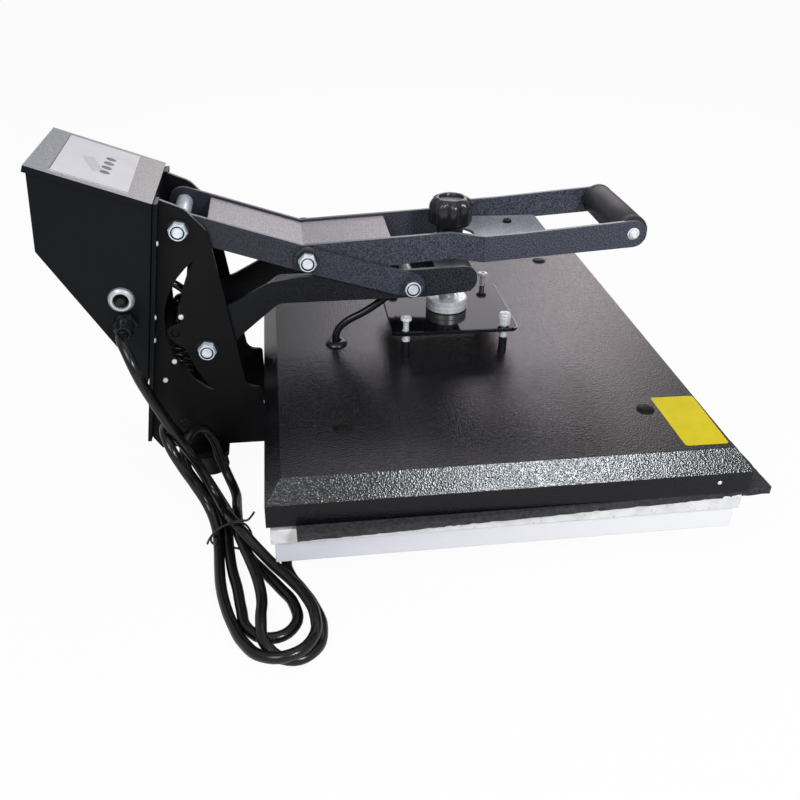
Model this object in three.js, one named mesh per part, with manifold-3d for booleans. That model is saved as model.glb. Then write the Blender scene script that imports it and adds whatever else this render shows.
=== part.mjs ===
// Clamshell heat press with a 400 x 500 mm platen, drawn closed and locked down.
// Millimetres. +X runs to the handle at the front, +Z is up and y = 0 is the mid-plane.
// Left is the -Y side, where the mains lead comes in, and right is the +Y side.
// The press is drawn about the platen's centre with the floor at z = 0, and at the end the
// whole is moved along X so that the origin lies at the bottom centre of its bounding box.
// The lid closes by a toggle: lever, links and arm lie in one line when the press is locked.

import * as THREE from 'three';
import { mergeVertices } from 'three/addons/utils/BufferGeometryUtils.js';
import Module from 'manifold-3d';

const wasm = await Module();
wasm.setup();

// Clearances
const seat = 0.3; // between faces that rest on each other, and round a pin in its hole
const overrun = 2; // how far a cutting tool runs past the face that it opens

// Platens, cover and pad
const platen = { depth: 400, width: 500, thickness: 12, tappedDepth: 8 };
const cover = { margin: 3, sheet: 1.5, topInset: 13.4, bevelDrop: 16.7, lipDrop: 21 };
const blanket = { margin: 15, thickness: 20, boltPlay: 1 };
const pad = { depth: 406, width: 508, thickness: 5, slipForward: 14.6, slipLeft: 2.3, turn: 2.1 };
const lower = { thickness: 14.2, trayInset: 3, trayHeight: 21.4, traySheet: 2 };

// Base: rubber feet, two cross bars and the rails that run forward from the side plates
const foot = { radius: 18, topRadius: 15, height: 25.4, edge: 3, inset: 24 };
const crossbar = { breadth: 40, thickness: 6, corner: 6, rearLength: 116, frontLength: 320 };
const rearBarShare = 0.576; // middle of the rear bar along the side plates' depth
const rail = { height: 18.5, reach: 120, endRadius: 8, ahead: 1, fillet: 4 };

// Side plates: one folded sheet each, with a flange turned outwards along the rear edge
const side = { sheet: 4, gap: 76, rearX: -320, depth: 99, height: 261, flange: 15 };
const sideChamferShares = [[0.11, 0], [0, 0.07]];
const sideTopShares = [[0.33, 1, 0.02], [0.57, 0.96, 0.16], [0.76, 0.875, 0.2]];
const sideToeShares = [[1.155, 0.247, 0.04], [1, 0.253, 0.1]];
const windowShares = [[0.616, 0.774], [0.293, 0.453], [0.707, 0.234], [0.434, 0.483]];
const crossPlate = { sheet: 4, x: -236, bottom: 36, height: 56 };

// Pivots of the toggle linkage, closed
const leverPivot = { x: -270, z: 264 };
const armPivot = { x: -255, z: 143 };
const toggleEnd = { x: -58, z: 200 };
const leverThrow = 118.2; // lever pivot to the pivot that it shares with the links
const pivotPin = { radius: 6, headFlats: 17, headHeight: 7, sleeveRadius: 9 };
const washer = { radius: 11, thickness: 1.6 };

// Arm: two plates, the screw block, the toggle shaft and the pin that the springs pull on
const arm = { sheet: 4, gap: 66, reach: 262, depth: 30, tail: 29, tailRise: 15 };
const armLowerShares = [[0.003, -0.73, 0.53], [0.134, 0.4, 0.3], [0.267, 1.4, 0.4], [0.805, 1.43, 0.9]];
const armFrontShares = [[1, 1.58, 0.41], [1, 2.45, 0.41]];
const armUpperShares = [[0.344, 2.27, 0.9], [0.24, 2.13, 0.5], [0.103, 1.47, 0.5]];
const armTailShares = [[1.27, 0.7, 0.25], [1.27, 0.38, 0.2]];
const screwBlock = { depth: 36, bottom: 188, height: 24 };
const toggleShaftRadius = 6;
const springPinRadius = 4;

// Return springs between the arm's tail and an anchor rod low in the frame
const spring = { offset: 24, radius: 7, wire: 1.3, turns: 11, turnSteps: 7, neck: 5.2 };
const springHook = { turn: 0.72, steps: 7 };
const anchor = { z: 60, radius: 4 };

// Links between lever and arm, one outside each side
const link = { sheet: 4, halfWidth: 12.3, play: 0.5 };

// Lever: two cranked bars with welded webs and a roller grip
const lever = { sheet: 4, reach: 422, drop: 12.5, barDepth: 27, gap: 66, frontGap: 102 };
const leverLowerShares = [
  [-0.035, -0.22, 0.3], [0.284, -1.9, 0.52],
  [0.592, -1.44, 0.6], [0.742, -1.26, 0.9],
];
const leverGripShares = [[1.032, -0.945, 0.48], [1.032, 0.055, 0.5]];
const leverUpperShares = [
  [0.746, -0.333, 0.9], [0.59, -0.48, 0.9],
  [0.261, -0.78, 0.3], [-0.035, 0.756, 0.52],
];
const joggleShares = [0.59, 0.661]; // where the bars start and stop spreading, along the reach
const rearWeb = { sheet: 3, drop: 2.5 };
const rearWebShares = [[0.059, 0.26], [0.261, -0.78], [0.457, -0.6]]; // its bend line, under the bars' tops
const frontWeb = { sheet: 3, bottom: 232.5, corner: 4, knobPlay: 4 };
const frontWebShares = [0.609, 0.841]; // rear and front edges along the reach
const grip = { radius: 16, boltRadius: 5, headRadius: 7, headHeight: 4 };

// Pressure screw, knob, collar and support plate
const screw = { x: -15, radius: 8 };
const knob = { radius: 21.5, bottom: 238, height: 36, lobes: 8, lobeDepth: 3, lobeSteps: 6 };
const knobHub = { radius: 13, height: 9 };
const knobProfileShares = [[0.78, 0.25], [1, 0.33], [1, 0.74], [0.93, 0.86], [0.72, 0.95], [0.4, 0.99]];
const knobBoreShare = 0.66;
const collar = { radius: 21, height: 12.2, chamfer: 1.2 };
const support = { depth: 126, width: 112, thickness: 4, corner: 8, lift: 23, boltMargin: 6, boltSetback: 14 };
const platenBolt = { radius: 2.8, stand: 15, spacerRadius: 4.2 };
const boltHead = { radius: 5.5, height: 3.6, socketRadius: 2 };
const sleevedBolt = { radius: 6.4, height: 9 };
const grommet = { x: -130, y: -19, radius: 11, height: 4, neckRadius: 8, flangeEdge: 1.5, play: 0.8 };

// Heater cable: out of the cover, up into the arm and back along it to the control box
const cable = { radius: 3.8, sides: 10, steps: 34, loopSteps: 14, dip: 8 };
const cableEntry = { z: 204.9, run: 6, play: 0.6 };

// Control box behind the side plates
const box = { width: 120, sheet: 1.5, run: 97, rise: 35, rearHeight: 74, rearLean: 5, frontHeight: 175 };
const panel = { sheet: 1.5, lip: 4 };
const panelButton = { radius: 4, travel: 0.8, stem: 6, pitch: 13, count: 4, fromFront: 46, collar: 5.2 };
const board = { thickness: 1.6, drop: 10, margin: 9, postRadius: 3, postInset: 18 };
const breaker = { behind: 24.7, below: 87, radius: 11.8, height: 5, bushRadius: 7.5 };
const breakerBack = { depth: 24, size: 18 };
const breakerButton = { radius: 4, stand: 3.5, travel: 2.5, stem: 9 };
const gland = { behind: 20.1, below: 109.5, flats: 19, hexHeight: 7.5 };
const glandCap = { radius: 8.8, height: 18, tipRadius: 6.6 };
const glandNeck = { radius: 7.5, depth: 9 };
const rocker = { behind: 34.4, below: 89, width: 28, height: 21, bezel: 2, border: 3, depth: 20 };

// Mains lead, left beside the press in a tied hank
const cord = { radius: 4.8, sides: 10, steps: 22, tailSteps: 8 };
const hank = { floorHeight: 24, humpHeight: 96 };
const plug = { x: -149.4, y: -167, length: 38, width: 36, height: 24, corner: 7 };
const plugPin = { radius: 2.4, length: 18, spacing: 19 };
const plugRelief = { length: 20, radius: 7 };

// Finishes
function finish(color, roughness, metalness) {
  return () => new THREE.MeshStandardMaterial({ color, roughness, metalness });
}
const hammertone = finish('#17181b', 0.42, 0.2);
const greyPaint = finish('#8f9092', 0.5, 0.3);
const glossBlack = finish('#0c0c0e', 0.2, 0.1);
const zinc = finish('#c9cdd2', 0.3, 0.9);
const aluminium = finish('#d4d3d6', 0.45, 0.85);
const rubber = finish('#141414', 0.85, 0);
const plastic = finish('#111214', 0.5, 0);
const sponge = finish('#2b2c2f', 0.95, 0);
const fibre = finish('#e6e1d6', 1, 0);
const green = finish('#1f5a38', 0.6, 0);

// Outlines

// A closed outline through corners [x, y, fillet radius], run anticlockwise.
function outline(corners) {
  const shape = new THREE.Shape();
  corners.forEach(([x, y, radius = 0], index) => {
    const here = new THREE.Vector2(x, y);
    const [last, next] = [corners.at(index - 1), corners[(index + 1) % corners.length]];
    const before = new THREE.Vector2(last[0], last[1]).sub(here).normalize();
    const after = new THREE.Vector2(next[0], next[1]).sub(here).normalize();
    const half = Math.acos(THREE.MathUtils.clamp(before.dot(after), -1, 1)) / 2;
    const start = here.clone().addScaledVector(before, radius / Math.tan(half));
    if (index === 0) shape.moveTo(start.x, start.y);
    else shape.lineTo(start.x, start.y);
    if (radius > 0) {
      const clockwise = before.cross(after) > 0;
      const centre = before.clone().add(after).normalize().multiplyScalar(radius / Math.sin(half)).add(here);
      const end = here.clone().addScaledVector(after, radius / Math.tan(half));
      const from = start.clone().sub(centre).angle();
      const to = end.clone().sub(centre).angle();
      shape.absarc(centre.x, centre.y, radius, from, to, clockwise);
    }
  });
  shape.closePath();
  return shape;
}

function rectangle(width, height, corner = 0, x = 0, y = 0) {
  const ends = [[-1, -1], [1, -1], [1, 1], [-1, 1]];
  return outline(ends.map(([alongX, alongY]) => [
    x + (alongX * width) / 2, y + (alongY * height) / 2, corner,
  ]));
}

// A bulged opening between two tips: one arc through the outer point, one back through the inner.
function crescent(start, outer, end, inner) {
  const side1 = arcThrough(start, outer, end);
  const side2 = arcThrough(end, inner, start);
  return new THREE.Path([...side1, ...side2.slice(1, -1)]);
}

// Points of the circular arc from a to c by way of b.
function arcThrough(a, b, c, steps = 14) {
  const [p, q, r] = [a, b, c].map(([x, y]) => new THREE.Vector2(x, y));
  const d = 2 * (p.x * (q.y - r.y) + q.x * (r.y - p.y) + r.x * (p.y - q.y));
  const [pp, qq, rr] = [p, q, r].map((v) => v.lengthSq());
  const centre = new THREE.Vector2(
    (pp * (q.y - r.y) + qq * (r.y - p.y) + rr * (p.y - q.y)) / d,
    (pp * (r.x - q.x) + qq * (p.x - r.x) + rr * (q.x - p.x)) / d,
  );
  const from = p.clone().sub(centre).angle();
  const turn = (angle) => Math.atan2(Math.sin(angle), Math.cos(angle));
  const toB = turn(q.clone().sub(centre).angle() - from);
  const sweep = toB + turn(r.clone().sub(centre).angle() - from - toB);
  const radius = p.distanceTo(centre);
  return Array.from({ length: steps + 1 }, (_, i) => {
    const angle = from + (sweep * i) / steps;
    return new THREE.Vector2(centre.x + radius * Math.cos(angle), centre.y + radius * Math.sin(angle));
  });
}

// Solids

// An outline drawn in x and z, made solid across the press from y = low to y = high.
function acrossY(shape, low, high, curveSegments = 3) {
  const settings = { depth: high - low, bevelEnabled: false, curveSegments };
  return new THREE.ExtrudeGeometry(shape, settings).rotateX(Math.PI / 2).translate(0, high, 0);
}

// An outline drawn in x and y, made solid from z = low to z = high.
function upZ(shape, low, high, curveSegments = 2) {
  const settings = { depth: high - low, bevelEnabled: false, curveSegments };
  return new THREE.ExtrudeGeometry(shape, settings).translate(0, 0, low);
}

// A round or, with few sides, a polygonal bar along one axis through (a, b) of the other two.
function bar(axis, radius, low, high, a = 0, b = 0, sides = 16) {
  const geometry = new THREE.CylinderGeometry(radius, radius, high - low, sides);
  const middle = (low + high) / 2;
  if (axis === 'x') return geometry.rotateZ(Math.PI / 2).translate(middle, a, b);
  if (axis === 'y') return geometry.translate(a, middle, b);
  return geometry.rotateX(Math.PI / 2).translate(a, b, middle);
}

function block(x, y, z) {
  const size = [x, y, z].map(([low, high]) => high - low);
  const middle = [x, y, z].map(([low, high]) => (low + high) / 2);
  return new THREE.BoxGeometry(...size).translate(...middle);
}

// Two distances from the mid-plane as a low and a high edge on the side that sign names.
function edges(sign, near, far) {
  return [near * sign, far * sign].sort((a, b) => a - b);
}

// A hexagon bar of the given width across its flats.
function hexBar(axis, flats, low, high, a, b) {
  return bar(axis, flats / Math.sqrt(3), low, high, a, b, 6);
}

// A turned piece about the z axis, from [radius, height] points that start and end on it.
function turned(points, sides = 24) {
  return new THREE.LatheGeometry(points.map(([r, z]) => new THREE.Vector2(r, z)), sides).rotateX(Math.PI / 2);
}

function toManifold(geometry) {
  const bare = new THREE.BufferGeometry();
  bare.setAttribute('position', geometry.getAttribute('position').clone());
  if (geometry.index) bare.setIndex(geometry.index.clone());
  const merged = mergeVertices(bare);
  const vertProperties = Float32Array.from(merged.getAttribute('position').array);
  const triVerts = Uint32Array.from(merged.index.array);
  return new wasm.Manifold(new wasm.Mesh({ numProp: 3, vertProperties, triVerts }));
}

function toGeometry(manifold) {
  const mesh = manifold.getMesh();
  const geometry = new THREE.BufferGeometry();
  geometry.setAttribute('position', new THREE.BufferAttribute(mesh.vertProperties, 3));
  geometry.setIndex(new THREE.BufferAttribute(mesh.triVerts, 1));
  geometry.computeVertexNormals();
  return geometry;
}

function joined(first, ...others) {
  return toGeometry(others.reduce((sum, other) => sum.add(toManifold(other)), toManifold(first)));
}

function cutBy(first, ...tools) {
  return toGeometry(tools.reduce((rest, tool) => rest.subtract(toManifold(tool)), toManifold(first)));
}

function common(first, second) {
  return toGeometry(toManifold(first).intersect(toManifold(second)));
}

// A round tube of solid section along points in space.
function strand(points, radius, sides, steps, tension = 0.5) {
  const section = new THREE.Shape();
  section.absarc(0, 0, radius, 0, 2 * Math.PI);
  const extrudePath = new THREE.CatmullRomCurve3(
    points.map((point) => new THREE.Vector3(...point)), false, 'catmullrom', tension,
  );
  const settings = { steps, curveSegments: sides / 2, extrudePath, bevelEnabled: false };
  return new THREE.ExtrudeGeometry(section, settings);
}

// Groups, one for each part of the press that moves as one
const press = new THREE.Group();

function carried(by, x, z) {
  const group = new THREE.Group();
  group.position.set(x, 0, z);
  by.add(group);
  return group;
}

function place(group, name, geometry, material, x = 0, y = 0, z = 0) {
  const mesh = new THREE.Mesh(geometry, material());
  mesh.name = name;
  mesh.position.set(x, y, z);
  group.add(mesh);
  return mesh;
}

// Heights, from the floor up
const crossbarBottom = foot.height + seat;
const frameBottom = crossbarBottom + crossbar.thickness + seat;
const trayBottom = frameBottom + rail.height + seat;
const lowerPlatenBottom = trayBottom + lower.trayHeight + seat;
const padBottom = lowerPlatenBottom + lower.thickness + seat;
const heatFace = padBottom + pad.thickness + seat;
const heatPlatenTop = heatFace + platen.thickness;
const coverTop = heatFace + cover.lipDrop + cover.bevelDrop;
const coverUnderside = coverTop - cover.sheet;
const supportBottom = coverTop + support.lift;
const supportTop = supportBottom + support.thickness;

// Widths across the press
const armOuter = arm.gap / 2 + arm.sheet;
const linkInner = armOuter + link.play;
const linkOuter = linkInner + link.sheet;
const sideInner = side.gap / 2;
const sideOuter = sideInner + side.sheet;
const boxSide = box.width / 2;

// Feet and cross bars
const footShape = turned([
  [0, 0], [foot.radius - foot.edge, 0], [foot.radius, foot.edge],
  [foot.topRadius, foot.height], [0, foot.height],
]);
const rearBarX = side.rearX + side.depth * rearBarShare;
const frontBarX = rail.reach - crossbar.breadth / 2 - seat;
const bars = [['rear', rearBarX, crossbar.rearLength], ['front', frontBarX, crossbar.frontLength]];
for (const [end, x, length] of bars) {
  const plan = rectangle(crossbar.breadth, length, crossbar.corner, x);
  place(press, `${end}_crossbar`, upZ(plan, crossbarBottom, crossbarBottom + crossbar.thickness), hammertone);
  const footY = length / 2 - foot.inset;
  place(press, `foot_${end}_left`, footShape, rubber, x, -footY);
  place(press, `foot_${end}_right`, footShape, rubber, x, footY);
}

// Side plates
const platePoint = ([x, z, fillet = 0]) => [
  side.rearX + x * side.depth, frameBottom + z * side.height, fillet * side.depth,
];
const rearTop = platePoint(sideTopShares[0]);
const rearBottom = platePoint(sideChamferShares[1]);
const rearSlope = (rearTop[0] - rearBottom[0]) / (rearTop[1] - rearBottom[1]);
const rearEdgeX = (z) => rearTop[0] + (z - rearTop[1]) * rearSlope;
const railTop = frameBottom + rail.height;
const [toeFront, toeRear] = sideToeShares.map(platePoint);
const sideOutline = outline([
  platePoint(sideChamferShares[0]),
  [rail.reach, frameBottom, rail.endRadius],
  [rail.reach, railTop, rail.endRadius],
  [toeFront[0] + rail.ahead, railTop, rail.fillet],
  toeFront,
  toeRear,
  ...sideTopShares.slice(1).reverse().map(platePoint),
  rearTop,
  rearBottom,
]);
sideOutline.holes.push(crescent(...windowShares.map((share) => platePoint(share).slice(0, 2))));
const flangeTop = rearTop[1] - seat;
const flangeOutline = outline([
  [rearBottom[0] + seat, rearBottom[1]], [rearBottom[0] + side.sheet, rearBottom[1]],
  [rearTop[0] + side.sheet, flangeTop], [rearTop[0] + seat, flangeTop],
]);
const sideHoles = [
  [pivotPin.radius, leverPivot.x, leverPivot.z],
  [pivotPin.radius, armPivot.x, armPivot.z],
  [anchor.radius, armPivot.x - arm.tail, anchor.z],
];
for (const [name, sign] of [['left', -1], ['right', 1]]) {
  const plate = joined(
    acrossY(sideOutline, ...edges(sign, sideInner, sideOuter)),
    acrossY(flangeOutline, ...edges(sign, sideInner, sideOuter + side.flange)),
  );
  const drill = edges(sign, sideInner - overrun, sideOuter + overrun);
  const holes = sideHoles.map(([radius, x, z]) => bar('y', radius + seat, ...drill, x, z));
  place(press, `side_plate_${name}`, cutBy(plate, ...holes), hammertone);
}
const crossPlateX = [crossPlate.x, crossPlate.x + crossPlate.sheet];
const crossPlateZ = [crossPlate.bottom, crossPlate.bottom + crossPlate.height];
const crossPlateY = [seat - sideInner, sideInner - seat];
place(press, 'frame_cross_plate', block(crossPlateX, crossPlateY, crossPlateZ), hammertone);

// Pivot bolts, each with a washer and a hexagon at both ends
function pivotBolt(radius, reach, innerSleeve = 0) {
  const pieces = [bar('y', radius, -reach - pivotPin.headHeight, reach + pivotPin.headHeight)];
  const face = reach + seat;
  const headTip = face + washer.thickness + pivotPin.headHeight;
  for (const sign of [-1, 1]) {
    pieces.push(bar('y', washer.radius, ...edges(sign, face, face + washer.thickness), 0, 0, 24));
    pieces.push(hexBar('y', pivotPin.headFlats, ...edges(sign, face + seat, headTip)));
  }
  if (innerSleeve > 0) pieces.push(bar('y', pivotPin.sleeveRadius, -innerSleeve, innerSleeve));
  return joined(...pieces);
}
const innerHalf = arm.gap / 2 - seat;
const framePin = pivotBolt(pivotPin.radius, sideOuter, innerHalf);
place(press, 'lever_pivot_bolt', framePin, zinc, leverPivot.x, 0, leverPivot.z);
place(press, 'arm_pivot_bolt', framePin, zinc, armPivot.x, 0, armPivot.z);

// Lower platen on its folded tray, and the loose pad on it
const trayDepth = platen.depth - 2 * lower.trayInset;
const trayWidth = platen.width - 2 * lower.trayInset;
const trayOuter = upZ(rectangle(trayDepth, trayWidth), trayBottom, trayBottom + lower.trayHeight);
const trayHollow = upZ(
  rectangle(trayDepth - 2 * lower.traySheet, trayWidth - 2 * lower.traySheet),
  trayBottom + lower.traySheet, trayBottom + lower.trayHeight + overrun,
);
place(press, 'lower_tray', cutBy(trayOuter, trayHollow), aluminium);
const platenPlan = rectangle(platen.depth, platen.width);
const lowerPlatenTop = lowerPlatenBottom + lower.thickness;
place(press, 'lower_platen', upZ(platenPlan, lowerPlatenBottom, lowerPlatenTop), aluminium);
const padMesh = place(press, 'silicone_pad', upZ(rectangle(pad.depth, pad.width), 0, pad.thickness), sponge);
padMesh.position.set(pad.slipForward, -pad.slipLeft, padBottom);
padMesh.rotation.z = THREE.MathUtils.degToRad(pad.turn);

// Arm: it swings on the frame about armPivot
const armGroup = carried(press, armPivot.x, armPivot.z);
const armPoint = ([x, z, fillet]) => [x * arm.reach, z * arm.depth, fillet * arm.depth];
const tailPoint = ([x, z, fillet]) => [-x * arm.tail, z * arm.depth, fillet * arm.depth];
const armOutline = outline([
  ...armLowerShares.map(armPoint),
  ...armFrontShares.map(armPoint),
  ...armUpperShares.map(armPoint),
  ...armTailShares.map(tailPoint),
]);
const toggle = { x: toggleEnd.x - armPivot.x, z: toggleEnd.z - armPivot.z };
const armHoles = [
  [pivotPin.radius, 0, 0], [toggleShaftRadius, toggle.x, toggle.z],
  [springPinRadius, -arm.tail, arm.tailRise],
];
for (const [name, sign] of [['left', -1], ['right', 1]]) {
  const drill = edges(sign, arm.gap / 2 - overrun, armOuter + overrun);
  const holes = armHoles.map(([radius, x, z]) => bar('y', radius + seat, ...drill, x, z));
  const plate = acrossY(armOutline, ...edges(sign, arm.gap / 2, armOuter));
  place(armGroup, `arm_plate_${name}`, cutBy(plate, ...holes), hammertone);
}
const toggleShaft = bar('y', toggleShaftRadius, -armOuter, armOuter);
place(armGroup, 'toggle_shaft', toggleShaft, zinc, toggle.x, 0, toggle.z);
const springPin = bar('y', springPinRadius, -armOuter, armOuter);
place(armGroup, 'spring_pin', springPin, zinc, -arm.tail, 0, arm.tailRise);
const blockX = [-screwBlock.depth / 2, screwBlock.depth / 2];
const blockZ = [screwBlock.bottom - armPivot.z, screwBlock.bottom + screwBlock.height - armPivot.z];
const threadedBlock = cutBy(
  block(blockX, [-innerHalf, innerHalf], blockZ),
  bar('z', screw.radius + seat, blockZ[0] - overrun, blockZ[1] + overrun),
);
place(armGroup, 'screw_block', threadedBlock, hammertone, screw.x - armPivot.x);

// Platen assembly: it rides up and down under the arm on the pressure screw
const platenGroup = carried(armGroup, -armPivot.x, -armPivot.z);
const boltSpots = [-1, 1].flatMap((alongX) => [-1, 1].map((alongY) => [
  screw.x + alongX * (support.depth / 2 - support.boltSetback),
  alongY * (support.width / 2 - support.boltMargin),
]));
const boltHoles = (radius, low, high) => boltSpots.map(([x, y]) => bar('z', radius, low, high, x, y, 12));
const tapped = boltHoles(
  platenBolt.radius + seat, heatPlatenTop - platen.tappedDepth, heatPlatenTop + overrun,
);
const heatPlaten = cutBy(upZ(platenPlan, heatFace, heatPlatenTop), ...tapped);
place(platenGroup, 'heat_platen', heatPlaten, aluminium);
const blanketBottom = heatPlatenTop + seat;
const blanketTop = blanketBottom + blanket.thickness;
const blanketPlan = rectangle(platen.depth - 2 * blanket.margin, platen.width - 2 * blanket.margin);
const blanketCut = [blanketBottom - overrun, blanketTop + overrun];
const blanketPads = cutBy(
  upZ(blanketPlan, blanketBottom, blanketTop),
  ...boltHoles(platenBolt.spacerRadius + blanket.boltPlay, ...blanketCut),
  bar('z', grommet.neckRadius + seat, ...blanketCut, grommet.x, grommet.y),
);
place(platenGroup, 'insulation_blanket', blanketPads, fibre);

// A pressed pan, open below: a flat top, a bevel all round and a straight lip.
function pan(depth, width, inset, top) {
  const settings = {
    depth: top - cover.bevelDrop - heatFace + overrun,
    bevelThickness: cover.bevelDrop,
    bevelSize: cover.topInset - inset,
    bevelSegments: 1,
    curveSegments: 4,
  };
  const flat = rectangle(depth - 2 * cover.topInset, width - 2 * cover.topInset);
  return new THREE.ExtrudeGeometry(flat, settings).translate(0, 0, heatFace - overrun);
}
const coverDepth = platen.depth + 2 * cover.margin;
const coverWidth = platen.width + 2 * cover.margin;
const aboveLip = block([-coverDepth, coverDepth], [-coverWidth, coverWidth], [heatFace, coverTop + overrun]);
const coverShell = cutBy(
  common(pan(coverDepth, coverWidth, 0, coverTop), aboveLip),
  pan(coverDepth, coverWidth, cover.sheet, coverUnderside),
  ...boltHoles(platenBolt.spacerRadius + seat, coverUnderside - overrun, coverTop + overrun),
  bar('z', grommet.neckRadius + seat, coverUnderside - overrun, coverTop + overrun, grommet.x, grommet.y),
);
place(platenGroup, 'cover', coverShell, hammertone);
const grommetFoot = -cover.sheet - grommet.flangeEdge;
const grommetRing = cutBy(
  turned([
    [0, grommetFoot], [grommet.neckRadius, grommetFoot],
    [grommet.neckRadius, seat], [grommet.radius, seat], [grommet.radius, grommet.flangeEdge + seat],
    [grommet.neckRadius, grommet.height], [0, grommet.height],
  ]),
  bar('z', cable.radius + grommet.play, grommetFoot - overrun, grommet.height + overrun),
);
place(platenGroup, 'cable_grommet', grommetRing, rubber, grommet.x, grommet.y, coverTop);

// Support plate, its four screws and the collar that holds the end of the pressure screw
const supportPlan = rectangle(support.depth, support.width, support.corner, screw.x);
const supportHoles = boltHoles(platenBolt.radius + seat, supportBottom - overrun, supportTop + overrun);
const supportShape = cutBy(upZ(supportPlan, supportBottom, supportTop), ...supportHoles);
place(platenGroup, 'support_plate', supportShape, glossBlack);
const boltFoot = heatPlatenTop - platen.tappedDepth + seat;
const headBottom = supportTop + platenBolt.stand - boltHead.height;
const headTop = supportTop + platenBolt.stand;
const plainBolt = cutBy(
  joined(
    bar('z', platenBolt.radius, boltFoot, headBottom + seat, 0, 0, 12),
    bar('z', platenBolt.spacerRadius, heatPlatenTop + seat, supportBottom - seat, 0, 0, 12),
    bar('z', boltHead.radius, headBottom, headTop),
  ),
  bar('z', boltHead.socketRadius, headTop - boltHead.socketRadius, headTop + overrun, 0, 0, 6),
);
const sleeveBottom = headTop - boltHead.height - sleevedBolt.height;
const sleeve = bar('z', sleevedBolt.radius, sleeveBottom, headBottom + seat);
const boltNames = ['rear_left', 'rear_right', 'front_left', 'front_right'];
boltSpots.forEach(([x, y], index) => {
  const geometry = boltNames[index] === 'front_left' ? joined(plainBolt, sleeve) : plainBolt;
  place(platenGroup, `platen_bolt_${boltNames[index]}`, geometry, zinc, x, y);
});
const collarRing = cutBy(
  turned([
    [0, 0], [collar.radius, 0], [collar.radius, collar.height - collar.chamfer],
    [collar.radius - collar.chamfer, collar.height], [0, collar.height],
  ]),
  bar('z', screw.radius + seat, -overrun, collar.height + overrun),
);
place(platenGroup, 'screw_collar', collarRing, zinc, screw.x, 0, supportTop + seat);

// Pressure screw and its lobed knob
const screwGroup = carried(platenGroup, screw.x, 0);
const screwTop = knob.bottom + knob.height * knobBoreShare;
place(screwGroup, 'pressure_screw', bar('z', screw.radius, supportTop + seat, screwTop), zinc);
const lobePointCount = knob.lobes * knob.lobeSteps;
const lobePoints = Array.from({ length: lobePointCount }, (_, i) => {
  const angle = (2 * Math.PI * i) / lobePointCount;
  const radius = knob.radius - knob.lobeDepth * Math.sin((angle * knob.lobes) / 2) ** 4;
  return new THREE.Vector2(radius * Math.cos(angle), radius * Math.sin(angle));
});
const knobBody = turned([
  [0, 0], [knobHub.radius, 0], [knobHub.radius, knobHub.height],
  ...knobProfileShares.map(([r, z]) => [r * knob.radius, z * knob.height]), [0, knob.height],
], 40);
const knobSolid = cutBy(
  common(knobBody, upZ(new THREE.Shape(lobePoints), -overrun, knob.height + overrun)),
  bar('z', screw.radius + seat, -overrun, knob.height * knobBoreShare + seat),
);
place(screwGroup, 'pressure_knob', knobSolid, plastic, 0, 0, knob.bottom);

// Lever: it swings on the frame about leverPivot and carries the links on a shared pivot
const leverGroup = carried(press, leverPivot.x, leverPivot.z);
const toggleRun = Math.hypot(toggleEnd.x - leverPivot.x, toggleEnd.z - leverPivot.z);
const toggleAngle = Math.atan2(toggleEnd.z - leverPivot.z, toggleEnd.x - leverPivot.x);
const linkLength = toggleRun - leverThrow;
const linkPivot = { x: leverThrow * Math.cos(toggleAngle), z: leverThrow * Math.sin(toggleAngle) };
const leverPoint = ([x, z, fillet = 0]) => [x * lever.reach, z * lever.barDepth, fillet * lever.barDepth];
const leverOutline = outline([
  ...leverLowerShares.map(leverPoint),
  ...leverGripShares.map(leverPoint),
  ...leverUpperShares.map(leverPoint),
]);
const [joggleStart, joggleEnd] = joggleShares.map((share) => share * lever.reach);
const rearHalf = lever.gap / 2;
const frontHalf = lever.frontGap / 2;
const corner = lever.sheet * Math.tan(Math.atan2(frontHalf - rearHalf, joggleEnd - joggleStart) / 2);
const stripEnds = { rear: -lever.barDepth, front: lever.reach + lever.barDepth };
function barPlan(sign) {
  const points = [
    [stripEnds.rear, rearHalf], [joggleStart, rearHalf], [joggleEnd, frontHalf], [stripEnds.front, frontHalf],
    [stripEnds.front, frontHalf + lever.sheet], [joggleEnd - corner, frontHalf + lever.sheet],
    [joggleStart - corner, rearHalf + lever.sheet], [stripEnds.rear, rearHalf + lever.sheet],
  ];
  const turnedOver = points.map(([x, y]) => [x, y * sign]);
  return outline(sign > 0 ? turnedOver : turnedOver.reverse());
}
const gripSpot = { x: lever.reach, z: -lever.drop };
const leverZ = [-lever.barDepth * 3, lever.barDepth * 2];
const leverHoles = [
  [pivotPin.radius, 0, 0], [pivotPin.radius, linkPivot.x, linkPivot.z],
  [grip.boltRadius, gripSpot.x, gripSpot.z],
];
for (const [name, sign] of [['left', -1], ['right', 1]]) {
  const across = edges(sign, 0, frontHalf * 2);
  const barSolid = common(acrossY(leverOutline, ...across), upZ(barPlan(sign), ...leverZ));
  const holes = leverHoles.map(([radius, x, z]) => bar('y', radius + seat, ...across, x, z));
  place(leverGroup, `lever_bar_${name}`, cutBy(barSolid, ...holes), hammertone);
}

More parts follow.
